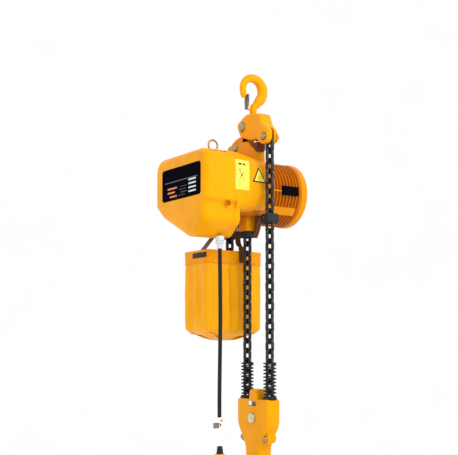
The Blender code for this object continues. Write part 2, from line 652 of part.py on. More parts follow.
def bag_strap(name, low, high, half_x, half_y):
    """Steel strap that hangs the bag. low and high are the centres of its two ends."""
    ends = [(z, box_outline(x - half_x, x + half_x, y - half_y, y + half_y, 0.5 * MM, 1))
            for x, y, z in (low, high)]
    return loft(name, "z", ends, dark_steel())


def chain_bar(name, y, low, high):
    """One straight run of chain as a bar with the chain's cross-shaped section."""
    arm, half = CHAIN_WIDTH / 2, CHAIN_WIRE / 2
    cross = [(arm, -half), (arm, half), (half, half), (half, arm), (-half, arm), (-half, half),
             (-arm, half), (-arm, -half), (-half, -half), (-half, -arm), (half, -arm), (half, -half)]
    turn = Matrix.Rotation(math.radians(45), 2)
    outline = [turn @ Vector(p) + Vector((0, y)) for p in cross]
    return prism(name, "z", outline, low, high, dark_steel())


def dead_fall_upper():
    """Upper run of the dead fall, with the end link that hangs on the yoke's pin."""
    bar = chain_bar("dead_fall_upper", DEAD_Y, CHAIN_SPLIT_Z + GAP, -234 * MM)
    half = CHAIN_WIDTH / 2
    link = prism("end_link", "x", box_outline(DEAD_Y - half, DEAD_Y + half, -244 * MM, -190 * MM, 12 * MM, 3),
                 -CHAIN_WIRE / 2, CHAIN_WIRE / 2, dark_steel())
    join(bar, link)
    return cut(bar, rod("pin_hole", "x", (DEAD_Y, DEAD_PIN_Z), 7.6 * MM, -20 * MM, 20 * MM, dark_steel()))


def cushion_spring(name, y):
    """Coil spring round a fall, as a sleeve of the coil's outer and inner diameter."""
    low = BLOCK_TOP_Z + GAP
    return ring(name, "z", (0, y), CHAIN_WIDTH / 2 + 1 * MM, CHAIN_WIDTH / 2 + 4 * MM, low,
                low + SPRING_HEIGHT, dark_steel(), 24)


def block_outline():
    """Side view (y, z) of the bottom block: round below, with a neck for the hook."""
    points = [Vector((BLOCK_Y - BLOCK_R, BLOCK_TOP_Z)), Vector((BLOCK_Y - 26 * MM, BLOCK_TOP_Z)),
              Vector((BLOCK_Y - 20 * MM, BLOCK_TOP_Z + 24 * MM)), Vector((BLOCK_Y - 10 * MM, BLOCK_TOP_Z + 34 * MM)),
              Vector((BLOCK_Y + 10 * MM, BLOCK_TOP_Z + 34 * MM)), Vector((BLOCK_Y + 20 * MM, BLOCK_TOP_Z + 24 * MM)),
              Vector((BLOCK_Y + 26 * MM, BLOCK_TOP_Z)), Vector((BLOCK_Y + BLOCK_R, BLOCK_TOP_Z))]
    for k in range(9):
        a = math.radians(-58 * k / 8)
        points.append(Vector((BLOCK_Y + BLOCK_R * math.cos(a), SHEAVE_Z + BLOCK_R * math.sin(a))))
    points += [Vector((BLOCK_Y + 37 * MM, -1264 * MM)), Vector((BLOCK_Y + 33 * MM, NECK_BOTTOM_Z)),
               Vector((BLOCK_Y - 33 * MM, NECK_BOTTOM_Z)), Vector((BLOCK_Y - 37 * MM, -1264 * MM))]
    for k in range(9):
        a = math.radians(-122 - 58 * k / 8)
        points.append(Vector((BLOCK_Y + BLOCK_R * math.cos(a), SHEAVE_Z + BLOCK_R * math.sin(a))))
    return points


def block_half(name, side):
    """One cast half of the bottom block, with a room for the sheave and one for the hook's nut."""
    low, high = sorted((side * GAP / 2, side * BLOCK_HALF_X))
    outline = block_outline()
    outer = [(side * GAP / 2, outline), (side * (BLOCK_HALF_X - 9 * MM), outline),
             (side * (BLOCK_HALF_X - 2.5 * MM), shrink(outline, 4 * MM)),
             (side * BLOCK_HALF_X, shrink(outline, 9 * MM))]
    half = loft(name, "x", outer, paint())
    ear_low, ear_high = sorted((side * GAP / 2, side * EAR_HALF_X))
    bolt_places = [(BLOCK_Y + way * CLAMP_SPACING / 2, CLAMP_Z) for way in (-1, 1)]
    for place in bolt_places:
        join(half, rod("ear", "x", place, 12 * MM, ear_low, ear_high, paint(), 20))
    room = 22 * MM
    slot = CHAIN_WIDTH / 2 + 1.5 * MM
    cutters = [
        rod("pin_bore", "x", (BLOCK_Y, SHEAVE_Z), 12.3 * MM, low - 5 * MM, high + 5 * MM, paint()),
        rod("shank_bore", "z", (0, BLOCK_Y), 12.6 * MM, NECK_BOTTOM_Z - 5 * MM, -1280 * MM, paint()),
        rod("nut_room", "z", (0, BLOCK_Y), 22 * MM, -1286 * MM, -1256 * MM, paint()),
        rod("sheave_room", "x", (BLOCK_Y, SHEAVE_Z), BLOCK_R - 4 * MM, -room, room, paint(), 48),
    ]
    seat_low, seat_high = sorted((side * (EAR_HALF_X + 0.1 * MM), side * (BLOCK_HALF_X + 5 * MM)))
    for place in bolt_places:
        cutters += [rod("bolt_bore", "x", place, 5.4 * MM, low - 5 * MM, high + 5 * MM, paint(), 16),
                    rod("spot_face", "x", place, 10.5 * MM, seat_low, seat_high, paint(), 20)]
    for y in (LIVE_Y, DEAD_Y):
        cutters.append(prism("chain_way", "z", box_outline(-room, room, y - slot, y + slot, 4 * MM, 2),
                             SHEAVE_Z + 5 * MM, BLOCK_TOP_Z + 10 * MM, paint()))
    cutters.append(prism("window", "x", box_outline(BLOCK_Y - 24 * MM, BLOCK_Y + 24 * MM, -1121 * MM,
                                                    -1102 * MM, 2 * MM, 2), low - 5 * MM, high + 5 * MM,
                         paint()))
    return cut(half, *cutters)


def bottom_hook():
    """Load hook that swivels in the block's neck."""
    bowl_r, body, neck, length = 29 * MM, 36 * MM, 24 * MM, 56 * MM
    seat_z = NECK_BOTTOM_Z - 12 * MM - body - 2 * bowl_r
    hook = sweep("bottom_hook", hook_stations(0, BLOCK_Y, seat_z, -1, bowl_r, body, neck, length), paint())
    return join(hook, latch_ear(BLOCK_Y, BOTTOM_LATCH_Z))


def smooth_route(points, steps):
    """Curve through hand-chosen points, with a number of steps between each two."""
    ends = [points[0] * 2 - points[1], *points, points[-1] * 2 - points[-2]]
    curve = []
    for a, b, c, d in zip(ends, ends[1:], ends[2:], ends[3:]):
        for k in range(steps):
            t = k / steps
            curve.append(0.5 * (2 * b + (c - a) * t + (2 * a - 5 * b + 4 * c - d) * t * t
                                + (3 * b - a - 3 * c + d) * t ** 3))
    return curve + [points[-1]]


def cable():
    """Pendant cable, hanging straight from its clamp with a slight wave."""
    route = smooth_route([Vector(p) * MM for p in CABLE_ROUTE], 3)
    curve = bpy.data.curves.new("pendant_cable", "CURVE")
    curve.dimensions = "3D"
    curve.bevel_depth = CABLE_R
    curve.bevel_resolution = 2
    curve.use_fill_caps = True
    curve.render_resolution_u = 0
    spline = curve.splines.new("POLY")
    spline.points.add(len(route) - 1)
    for point, spot in zip(spline.points, route):
        point.co = (*spot, 1.0)
    curve.materials.append(black_rubber())
    obj = bpy.data.objects.new("pendant_cable", curve)
    bpy.context.scene.collection.objects.link(obj)
    return obj


def pendant():
    """Push-button station: housing, two travel buttons and a stop button."""
    yellow = material("pendant_yellow", (0.90, 0.50, 0.03), 0.45)
    top, x, y = PENDANT_TOP_Z - GAP, CABLE_X, CABLE_Y
    shoulder, bottom = top - 40 * MM, top - PENDANT_HEIGHT
    front = y - 26 * MM

    def section(half_x, half_y, radius, z):
        return z, box_outline(x - half_x, x + half_x, y - half_y, y + half_y, radius, 4)
    body = loft("pendant_housing", "z", [
        section(22 * MM, 18 * MM, 8 * MM, bottom), section(28 * MM, 26 * MM, 9 * MM, bottom + 8 * MM),
        section(28 * MM, 26 * MM, 9 * MM, shoulder), section(12 * MM, 12 * MM, 8 * MM, shoulder + 14 * MM),
        section(10 * MM, 10 * MM, 9 * MM, top)], yellow)
    heights = (("stop_button", -1316 * MM, 13 * MM, (0.7, 0.02, 0.02)),
               ("button_up", -1358 * MM, 11 * MM, (0.9, 0.9, 0.9)),
               ("button_down", -1400 * MM, 11 * MM, (0.03, 0.03, 0.03)))
    wells = [rod("well", "y", (x, z), r + 0.6 * MM, front - 5 * MM, front + 14 * MM, yellow, 20)
             for _, z, r, _ in heights]
    cut(body, *wells)
    for name, z, radius, color in heights:
        rod(name, "y", (x, z), radius, front - 5 * MM, front + 8 * MM, material(name, color, 0.4), 20)


def cable_tag():
    """Plastic tag tied on the cable above the pendant."""
    y = CABLE_Y - CABLE_R - 2.2 * MM
    return prism("cable_tag", "y", box_outline(CABLE_X - 34 * MM, CABLE_X + 8 * MM, -1252 * MM,
                                               -1156 * MM, 3 * MM, 2), y - 1.2 * MM, y + 1.2 * MM,
                 material("tag_plastic", (0.85, 0.85, 0.85), 0.5))


def plates():
    """Rating plate on the cover's end and a plate on the motor's near side."""
    black = material("label_black", (0.01, 0.01, 0.015), 0.3)
    outline = box_outline(-46 * MM, 204 * MM, -414 * MM, -304 * MM, 12 * MM, 4)
    prism("end_plate", "x", outline, COVER_END_X - 2.5 * MM, COVER_END_X - GAP, black)
    prism("motor_plate", "y", box_outline(108 * MM, 180 * MM, AXIS_Z - 15 * MM, AXIS_Z + 17 * MM, 3 * MM, 2),
          AXIS_Y - MOTOR_R - 4 * MM, AXIS_Y - MOTOR_R - 2 * MM, black)


def build():
    for obj in list(bpy.data.objects):
        bpy.data.objects.remove(obj)
    top_hook()
    hook_nut("top_hook_nut", 0, -138 * MM, -127 * MM, steel())
    latch("top_latch", 0, TOP_LATCH_Z, 1)
    ring("thrust_bearing", "z", (0, 0), 12.9 * MM, 17 * MM, -126.7 * MM, -120.4 * MM, steel(), 24)
    yoke_half("yoke_front", -1)
    yoke_half("yoke_rear", 1)
    headed_pin("suspension_pin", PIN_Y, PIN_Z, 11 * MM, YOKE_HALF_X, 17 * MM, 9 * MM, steel())
    headed_pin("dead_end_pin", DEAD_Y, DEAD_PIN_Z, 7 * MM, YOKE_HALF_X, 12 * MM, 8 * MM, steel())
    suspension_lug()
    headed_pin("lug_bolt", *LUG_BOLT, 8 * MM, LUG_HALF_X, 13 * MM, 8 * MM, steel())
    control_cover()
    gear_casing()
    gear_plate()
    motor_housing()
    fan_cover()
    inside_the_motor()
    fan()
    rotor_shaft()
    countershaft()
    output_gear()
    load_wheel()
    controls()
    chain_guide()
    limit_arm()
    eyebolt()
    cable_gland()
    chain_bag()
    rest = BAG_TOP_Z + GAP
    bag_strap("bag_strap_left", (-145 * MM, 95 * MM, rest), (-106 * MM, 95 * MM, COVER_BOTTOM_Z + 11 * MM),
              2 * MM, 16 * MM)
    bag_strap("bag_strap_right", (-6 * MM, 72 * MM, rest), (-16 * MM, 84 * MM, CASING_BOTTOM_Z - GAP),
              9 * MM, 2 * MM)
    plates()
    chain_bar("live_fall_upper", LIVE_Y, CHAIN_SPLIT_Z + GAP, -400 * MM)
    chain_bar("live_fall_lower", LIVE_Y, SHEAVE_Z + SHEAVE_R + GAP, CHAIN_SPLIT_Z)
    dead_fall_upper()
    chain_bar("dead_fall_lower", DEAD_Y, SHEAVE_Z + SHEAVE_R + GAP, CHAIN_SPLIT_Z)
    chain_bar("slack_chain", SLACK_Y, -700 * MM, -400 * MM)
    cushion_spring("spring_live", LIVE_Y)
    cushion_spring("spring_dead", DEAD_Y)
    block_half("block_front", -1)
    block_half("block_rear", 1)
    sheave()
    headed_pin("sheave_pin", BLOCK_Y, SHEAVE_Z, 12 * MM, BLOCK_HALF_X, 19 * MM, 7 * MM, steel())
    for name, way in (("clamp_bolt_live", 1), ("clamp_bolt_dead", -1)):
        headed_pin(name, BLOCK_Y + way * CLAMP_SPACING / 2, CLAMP_Z, 5 * MM, EAR_HALF_X, 9.5 * MM, 7 * MM,
                   steel())
    bottom_hook()
    hook_nut("bottom_hook_nut", BLOCK_Y, -1284 * MM, -1268 * MM, steel())
    latch("bottom_latch", BLOCK_Y, BOTTOM_LATCH_Z, -1)
    cable()
    cable_tag()
    pendant()


build()
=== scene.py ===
"""Looks of the electric chain hoist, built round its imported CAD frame."""
import json
import math

import bmesh
import bpy
from mathutils import Matrix, Vector
from mathutils.bvhtree import BVHTree

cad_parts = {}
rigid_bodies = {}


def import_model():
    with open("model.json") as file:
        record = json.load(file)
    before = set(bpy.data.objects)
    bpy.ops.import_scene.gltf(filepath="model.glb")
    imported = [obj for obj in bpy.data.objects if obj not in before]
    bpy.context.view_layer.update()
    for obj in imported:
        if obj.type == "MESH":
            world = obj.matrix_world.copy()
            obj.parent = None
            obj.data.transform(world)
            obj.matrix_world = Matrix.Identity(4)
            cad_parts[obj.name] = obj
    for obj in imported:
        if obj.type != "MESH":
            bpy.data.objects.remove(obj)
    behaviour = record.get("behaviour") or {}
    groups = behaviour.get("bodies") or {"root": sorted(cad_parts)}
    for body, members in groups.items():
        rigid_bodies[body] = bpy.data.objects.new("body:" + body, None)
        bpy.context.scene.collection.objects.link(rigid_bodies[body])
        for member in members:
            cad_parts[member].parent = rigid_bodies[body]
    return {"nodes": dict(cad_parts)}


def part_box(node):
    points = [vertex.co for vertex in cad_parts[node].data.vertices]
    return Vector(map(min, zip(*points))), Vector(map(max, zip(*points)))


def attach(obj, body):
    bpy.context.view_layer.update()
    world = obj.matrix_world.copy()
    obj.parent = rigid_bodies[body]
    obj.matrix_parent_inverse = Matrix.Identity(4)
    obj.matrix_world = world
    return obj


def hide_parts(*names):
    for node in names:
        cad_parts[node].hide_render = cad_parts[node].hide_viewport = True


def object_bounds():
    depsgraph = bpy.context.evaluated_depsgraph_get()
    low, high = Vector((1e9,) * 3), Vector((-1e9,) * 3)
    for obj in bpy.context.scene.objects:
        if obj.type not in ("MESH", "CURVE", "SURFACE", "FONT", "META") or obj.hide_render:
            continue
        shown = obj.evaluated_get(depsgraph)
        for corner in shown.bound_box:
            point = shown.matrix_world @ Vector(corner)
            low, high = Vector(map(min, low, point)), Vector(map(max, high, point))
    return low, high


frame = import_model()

CAD_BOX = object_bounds()
MM = 0.001


def low_of(node):
    return Vector(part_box(node)[0]) / MM


def high_of(node):
    return Vector(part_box(node)[1]) / MM


def middle(node):
    return (low_of(node) + high_of(node)) / 2


# Places read from the frame. Shapes are drawn in millimetres, and piece() turns them into metres.
AXIS = middle("rotor")
LIVE = middle("live_fall_upper")
DEAD = middle("dead_fall_lower")
SLACK = middle("slack_chain")
SHEAVE = middle("sheave")
COVER_LOW, COVER_HIGH = low_of("control_cover"), high_of("control_cover")
CASING_LOW, CASING_HIGH = low_of("gear_casing"), high_of("gear_casing")
MOTOR_LOW, MOTOR_HIGH = low_of("motor_housing"), high_of("motor_housing")
FAN_LOW, FAN_HIGH = low_of("fan_cover"), high_of("fan_cover")
BLOCK_LOW = low_of("block_front")
BLOCK_HIGH = high_of("block_rear")
BAG_LOW, BAG_HIGH = low_of("chain_bag"), high_of("chain_bag")
PIN = middle("suspension_pin")
DEAD_PIN = middle("dead_end_pin")
LUG_BOLT = middle("lug_bolt")
GLAND = middle("cable_gland")
CABLE_DIAMETER = 14.0
PITCH = 34.0
LINK_WIDTH = 37.0
WIRE = 11.2
SPLIT_Z = low_of("live_fall_upper").z
UNDERSIDE = -462.0
SEAM = 0.15
LATCH_X = -27.0
TOP_LATCH_Z = -92.0
BOTTOM_LATCH_Z = -1315.0


# ---------------------------------------------------------------- camera

VIEW_TURN = math.radians(34.0)
FRAME_WIDTH = 458.0
FOCAL_SHARE = 960.0 / FRAME_WIDTH
HORIZON_SHARE = 124.5 / FRAME_WIDTH
EYE = Vector((-1.936, -2.719, -0.936))


def make_camera():
    """Camera that looks level, with the horizon moved by its shift."""
    data = bpy.data.cameras.new("camera")
    data.sensor_width = 36.0
    data.lens = data.sensor_width * FOCAL_SHARE
    data.shift_y = HORIZON_SHARE
    data.clip_end = 60.0
    camera = bpy.data.objects.new("camera", data)
    camera.location = EYE
    camera.rotation_euler = (math.radians(90.0), 0.0, -VIEW_TURN)
    bpy.context.scene.collection.objects.link(camera)
    bpy.context.scene.camera = camera


make_camera()


# ---------------------------------------------------------------- materials

class Nodes:
    """Small helper that adds and links shader nodes."""

    def __init__(self, name):
        self.material = bpy.data.materials.new(name)
        self.material.use_nodes = True
        self.tree = self.material.node_tree
        self.shader = self.tree.nodes["Principled BSDF"]
        self.place = self.add("ShaderNodeTexCoord").outputs["Object"]

    def add(self, kind, **settings):
        node = self.tree.nodes.new(kind)
        for key, value in settings.items():
            setattr(node, key, value)
        return node

    def link(self, output, target):
        self.tree.links.new(output, target)

    def noise(self, scale, detail=3.0, roughness=0.55, stretch=None):
        node = self.add("ShaderNodeTexNoise")
        node.inputs["Scale"].default_value = scale
        node.inputs["Detail"].default_value = detail
        node.inputs["Roughness"].default_value = roughness
        self.link(self.stretched(stretch), node.inputs["Vector"])
        return node.outputs["Fac"]

    def stretched(self, stretch):
        if stretch is None:
            return self.place
        mapping = self.add("ShaderNodeMapping")
        mapping.inputs["Scale"].default_value = stretch
        self.link(self.place, mapping.inputs["Vector"])
        return mapping.outputs["Vector"]

    def wave(self, scale, axis, distortion=0.0):
        node = self.add("ShaderNodeTexWave", bands_direction=axis)
        node.inputs["Scale"].default_value = scale
        node.inputs["Distortion"].default_value = distortion
        self.link(self.place, node.inputs["Vector"])
        return node.outputs["Fac"]

    def ramp(self, value, stops):
        node = self.add("ShaderNodeValToRGB")
        elements = node.color_ramp.elements
        while len(elements) < len(stops):
            elements.new(0.5)
        for element, (position, color) in zip(elements, stops):
            element.position = position
            element.color = (*color, 1.0) if len(color) == 3 else color
        self.link(value, node.inputs["Fac"])
        return node.outputs["Color"]

    def span(self, value, low, high):
        node = self.add("ShaderNodeMapRange")
        node.inputs["To Min"].default_value = low
        node.inputs["To Max"].default_value = high
        self.link(value, node.inputs["Value"])
        return node.outputs["Result"]

    def math(self, operation, a, b):
        node = self.add("ShaderNodeMath", operation=operation)
        for socket, value in zip(node.inputs, (a, b)):
            if isinstance(value, float):
                socket.default_value = value
            else:
                self.link(value, socket)
        return node.outputs["Value"]

    def bump(self, height, strength, distance=0.001, under=None):
        node = self.add("ShaderNodeBump")
        node.inputs["Strength"].default_value = strength
        node.inputs["Distance"].default_value = distance
        self.link(height, node.inputs["Height"])
        if under is not None:
            self.link(under, node.inputs["Normal"])
        return node.outputs["Normal"]

    def done(self, color=None, roughness=None, normal=None, **values):
        for socket, value in (("Base Color", color), ("Roughness", roughness), ("Normal", normal)):
            if value is None:
                continue
            if isinstance(value, (float, tuple)):
                self.shader.inputs[socket].default_value = (*value, 1.0) if isinstance(value,
                                                                                       tuple) else value
            else:
                self.link(value, self.shader.inputs[socket])
        for socket, value in values.items():
            self.shader.inputs[socket.replace("_", " ")].default_value = value
        return self.material


def shade(color, amount):
    return tuple(min(1.0, c * amount) for c in color)


def enamel(name, color, rough=0.34, texture=0.10):
    """Enamel on a casting: soft unevenness, fine peel, faint grime and small chips."""
    n = Nodes(name)
    cloud = n.noise(9.0, 4.0)
    tint = n.ramp(cloud, [(0.25, shade(color, 0.86)), (0.5, color), (0.8, shade(color, 1.06))])
    chips = n.ramp(n.noise(46.0, 8.0, 0.72), [(0.735, (0, 0, 0)), (0.76, (1, 1, 1))])
    mix = n.add("ShaderNodeMix", data_type="RGBA")
    mix.inputs["B"].default_value = (0.16, 0.07, 0.02, 1.0)
    n.link(chips, mix.inputs["Factor"])
    n.link(tint, mix.inputs["A"])
    cast = n.bump(n.noise(60.0, 4.0), texture, 0.0012)
    peel = n.bump(n.noise(420.0, 2.0), 0.05, 0.0004, cast)
    return n.done(mix.outputs["Result"], n.span(n.noise(22.0), rough - 0.06, rough + 0.10), peel,
                  Coat_Weight=0.0, Specular_IOR_Level=0.22, Specular_Tint=(1.0, 0.62, 0.16, 1.0))


def metal(name, color, rough, grain=(1.0, 1.0, 1.0), strength=0.08):
    """Bare or plated metal with a fine grain and dull patches."""
    n = Nodes(name)
    tint = n.ramp(n.noise(35.0, 5.0), [(0.3, shade(color, 0.7)), (0.65, color)])
    rub = n.bump(n.noise(260.0, 3.0, 0.6, grain), strength, 0.0004)
    return n.done(tint, n.span(n.noise(70.0, 4.0), rough - 0.1, rough + 0.14), rub, Metallic=1.0)


def chain_steel():
    """Blackened load chain with a film of oil and rubbed crowns."""
    n = Nodes("chain_steel")
    tint = n.ramp(n.noise(90.0, 5.0), [(0.3, (0.006, 0.006, 0.008)), (0.62, (0.020, 0.020, 0.024)),
                                       (0.8, (0.050, 0.048, 0.050))])
    rub = n.bump(n.noise(300.0, 4.0), 0.14, 0.0005)
    return n.done(tint, n.span(n.noise(60.0, 4.0), 0.26, 0.52), rub, Metallic=0.55, Coat_Weight=0.25,
                  Coat_Roughness=0.25)


def moulded(name, color, rough=0.5, pebble=500.0, strength=0.12, specular=0.3):
    """Moulded plastic or rubber with a fine pebble."""
    n = Nodes(name)
    tint = n.ramp(n.noise(18.0, 4.0), [(0.3, shade(color, 0.82)), (0.7, shade(color, 1.1))])
    skin = n.bump(n.noise(pebble, 3.0), strength, 0.0005)
    return n.done(tint, n.span(n.noise(40.0), rough - 0.07, rough + 0.09), skin, Specular_IOR_Level=specular)


def woven(name, color, thread=1.1 * MM):
    """Coated woven fabric: two crossing sets of threads, creases and dust."""
    n = Nodes(name)
    scale = 1.0 / (thread * 2.0) / math.tau * math.pi
    across = n.math("ADD", n.wave(scale, "X", 0.4), n.wave(scale, "Y", 0.4))
    weave = n.math("MULTIPLY", across, n.wave(scale, "Z", 0.4))
    tint = n.ramp(n.noise(12.0, 5.0), [(0.25, shade(color, 0.90)), (0.55, color), (0.85, shade(color, 1.05))])
    creases = n.bump(n.noise(26.0, 5.0, 0.6, (1.0, 1.0, 0.45)), 0.30, 0.003)
    skin = n.bump(weave, 0.30, 0.0005, creases)
    return n.done(tint, n.span(n.noise(30.0), 0.34, 0.52), skin, Specular_IOR_Level=0.30,
                  Specular_Tint=(1.0, 0.62, 0.16, 1.0))


def clear_plastic():
    n = Nodes("clear_plastic")
    frost = n.bump(n.noise(180.0, 3.0), 0.1, 0.0006)
    return n.done((0.86, 0.88, 0.92), n.span(n.noise(60.0), 0.12, 0.3), frost, Transmission_Weight=0.35,
                  IOR=1.46)


YELLOW = (0.87, 0.345, 0.002)
PAINT = enamel("yellow_enamel", YELLOW)
PAINT_ROUGH = enamel("yellow_enamel_cast", shade(YELLOW, 0.94), 0.40, 0.30)
# Darker copy of the yellow enamel: painted shade on the motor, its flange, the casing's web and sill
# underneath, and the cover's seam bead.
DEEP_SHADE_PAINT = enamel("orange_enamel_painted_shade", (0.50, 0.14, 0.003), 0.42, 0.20)
# Darker copy of the yellow enamel: painted shade on the lug, its tongue, the motor's ribs and the fan cover.
PAINT_SHADE = enamel("shaded_enamel", (0.72, 0.255, 0.002), 0.40, 0.20)
CHAIN = chain_steel()
ZINC = metal("zinc_plate", (0.62, 0.60, 0.54), 0.34)
PIN_STEEL = metal("pin_steel", (0.44, 0.37, 0.24), 0.38)
GILT_STEEL = metal("gilt_steel", (0.46, 0.28, 0.09), 0.42)
BLACK_STEEL = metal("black_spring_steel", (0.030, 0.030, 0.034), 0.36)
LATCH_STEEL = metal("latch_steel", (0.16, 0.15, 0.15), 0.38)
IRON = metal("cast_iron", (0.20, 0.20, 0.21), 0.55, strength=0.2)
ALUMINIUM = metal("cast_aluminium", (0.60, 0.60, 0.60), 0.5, strength=0.15)
COPPER = metal("copper_winding", (0.72, 0.30, 0.12), 0.4, (1.0, 8.0, 8.0), 0.3)
RUBBER = moulded("black_rubber", (0.016, 0.016, 0.017), 0.62)
BLACK_PLASTIC = moulded("black_plastic", (0.020, 0.020, 0.022), 0.45)
CABLE_SKIN = moulded("cable_jacket", (0.012, 0.011, 0.010), 0.5, 300.0, 0.08, 0.2)
WHITE_PLASTIC = moulded("white_plastic", (0.80, 0.80, 0.78), 0.42)
GREY_PLASTIC = moulded("grey_plastic", (0.16, 0.15, 0.14), 0.45)
CREAM_PLASTIC = moulded("cream_plastic", (0.62, 0.60, 0.52), 0.5)
RED_PLASTIC = moulded("red_plastic", (0.60, 0.02, 0.015), 0.36)
PENDANT_YELLOW = moulded("pendant_yellow", (0.84, 0.40, 0.01), 0.45)
PLATE_BLACK = moulded("plate_black", (0.004, 0.004, 0.007), 0.55, 200.0, 0.03, 0.0)
PRINT_WHITE = moulded("print_white", (0.66, 0.68, 0.72), 0.4)
PRINT_DIM = moulded("print_dim", (0.10, 0.10, 0.12), 0.4)
PRINT_FAINT = moulded("print_faint", (0.03, 0.035, 0.06), 0.4)
PRINT_ORANGE = moulded("print_orange", (0.72, 0.20, 0.06), 0.4)
PRINT_YELLOW = moulded("print_yellow", (0.92, 0.78, 0.10), 0.38, 200.0, 0.03)
PRINT_AMBER = moulded("print_amber", (0.93, 0.56, 0.01), 0.38, 200.0, 0.03)
PRINT_BLACK = moulded("print_black", (0.015, 0.015, 0.012), 0.4)
BAG_FABRIC = woven("bag_fabric", (0.87, 0.37, 0.004))
BAG_RIM = woven("bag_rim_webbing", (0.83, 0.30, 0.002), 1.6 * MM)
STRAP_BROWN = woven("strap_webbing", (0.10, 0.035, 0.012), 1.4 * MM)
STRAP_DARK = woven("strap_dark", (0.020, 0.012, 0.018), 1.4 * MM)
STITCH = moulded("stitch_thread", (0.55, 0.26, 0.03), 0.7)
PAINT_RIVET = enamel("rivet_enamel", (0.85, 0.40, 0.08), 0.3)
# Darker orange: painted shade in the cover's screw wells, on their screws and on the block's clamp-bolt
# seats.
RECESS_SHADE_ORANGE = enamel("shaded_orange", (0.42, 0.12, 0.006), 0.5, 0.2)
GUARD_BROWN = enamel("guard_brown", (0.11, 0.035, 0.012), 0.5, 0.2)
CHROME = metal("polished_steel", (0.74, 0.66, 0.46), 0.24)
WHITE_STEEL = metal("bright_plate", (0.92, 0.92, 0.90), 0.5)
CLEAR = clear_plastic()


# ---------------------------------------------------------------- shape helpers

def rounded(corners, steps=8):
    """Outline through corners (u, v, radius), each rounded by an arc."""
    points = []
    for i, (u, v, radius) in enumerate(corners):
        here = Vector((u, v))
        before = (Vector(corners[i - 1][:2]) - here).normalized()
        after = (Vector(corners[(i + 1) % len(corners)][:2]) - here).normalized()
        half = before.angle(after) / 2
        centre = here + (before + after).normalized() * radius / math.sin(half)
        start = here + before * radius / math.tan(half) - centre
        end = here + after * radius / math.tan(half) - centre
        sweep = start.angle_signed(end)
        for k in range(steps + 1):
            points.append(centre + Matrix.Rotation(-sweep * k / steps, 2) @ start)
    return points


def box_corners(u0, u1, v0, v1, radius):
    return [(u0, v0, radius), (u1, v0, radius), (u1, v1, radius), (u0, v1, radius)]


def box_outline(u0, u1, v0, v1, radius, steps=6):
    return rounded(box_corners(u0, u1, v0, v1, radius), steps)


def circle(u, v, radius, sides):
    """Even points round a circle."""
    return [Vector((u + radius * math.cos(math.tau * k / sides),
                    v + radius * math.sin(math.tau * k / sides))) for k in range(sides)]


def to_world(axis, u, v, along):
    """A point of an outline drawn square to an axis: (y, z), (x, z) or (x, y)."""
    return {"x": (along, u, v), "y": (u, along, v), "z": (u, v, along)}[axis]


def shrink(outline, amount):
    """Outline moved inward by an amount, point by point."""
    area = sum(a.x * b.y - b.x * a.y for a, b in zip(outline, outline[1:] + outline[:1]))
    side = 1.0 if area > 0 else -1.0
    moved = []
    for i, here in enumerate(outline):
        along = (outline[(i + 1) % len(outline)] - outline[i - 1]).normalized()
        moved.append(here + Vector((-along.y, along.x)) * side * amount)
    return moved


def scaled(outline, share):
    """Outline drawn in towards its middle by a share."""
    centre = sum(outline, Vector((0.0, 0.0))) / len(outline)
    return [centre + (p - centre) * share for p in outline]


def piece(name, bm, mat, body, replaces=(), angle=40.0, bevel=0.0, segments=3):
    """Finish a bmesh in millimetres as a visible piece that rides on a body."""
    bmesh.ops.recalc_face_normals(bm, faces=bm.faces)
    bm.transform(Matrix.Scale(MM, 4))
    mesh = bpy.data.meshes.new(name)
    bm.to_mesh(mesh)
    bm.free()
    mesh.materials.append(mat)
    mesh.shade_smooth()
    mesh.set_sharp_from_angle(angle=math.radians(angle))
    obj = bpy.data.objects.new(name, mesh)
    bpy.context.scene.collection.objects.link(obj)
    if bevel > 0:
        modifier = obj.modifiers.new("edges", "BEVEL")
        modifier.width = bevel * MM
        modifier.segments = segments
        modifier.limit_method = "ANGLE"
        modifier.angle_limit = math.radians(38.0)
        modifier.harden_normals = True
    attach(obj, body)
    if replaces:
        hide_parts(*replaces)
    return obj


def bridge(bm, rings, capped=True):
    """Skin a row of rings with equal numbers of points, and close its two ends."""
    for low, high in zip(rings, rings[1:]):
        for i in range(len(low)):
            j = (i + 1) % len(low)
            bm.faces.new((low[i], low[j], high[j], high[i]))
    if capped:
        bm.faces.new(rings[0])
        bm.faces.new(rings[-1])


def add_loft(bm, axis, sections):
    """Solid through (along, outline) sections."""
    bridge(bm, [[bm.verts.new(to_world(axis, p[0], p[1], along)) for p in outline] for along,
                outline in sections])


def quarter(steps):
    """Angles of a quarter turn, for rounding an edge."""
    return [math.pi / 2 * k / steps for k in range(steps + 1)]


def add_prism(bm, axis, outline, low, high, edge=0.0, steps=4):
    """Extruded outline whose two end edges are rounded."""
    if edge <= 0:
        add_loft(bm, axis, [(low, outline), (high, outline)])
        return
    rounds = [(edge * (1 - math.sin(a)), shrink(outline, edge * (1 - math.cos(a)))) for a in quarter(steps)]
    add_loft(bm, axis, [(low + back, ring) for back, ring in rounds[::-1]] + [(high - back, ring) for back,
                                                                              ring in rounds])


def add_lathe(bm, axis, centre, profile, sides=64):
    """Turned solid from (radius, along) points. A radius of 0 closes an end on the axis."""
    rings = []
    for radius, along in profile:
        if radius <= 0:
            rings.append([bm.verts.new(to_world(axis, centre[0], centre[1], along))])
        else:
            rings.append([bm.verts.new(to_world(axis, p.x, p.y, along)) for p in circle(centre[0], centre[1],
                                                                                        radius, sides)])
    closed = profile[0][0] > 0
    pairs = list(zip(rings, rings[1:])) + ([(rings[-1], rings[0])] if closed else [])
    for low, high in pairs:
        if len(low) == len(high) == 1:
            continue
        for i in range(sides):
            j = (i + 1) % sides
            quad = [low[i % len(low)], low[j % len(low)], high[j % len(high)], high[i % len(high)]]
            bm.faces.new(list(dict.fromkeys(quad)))


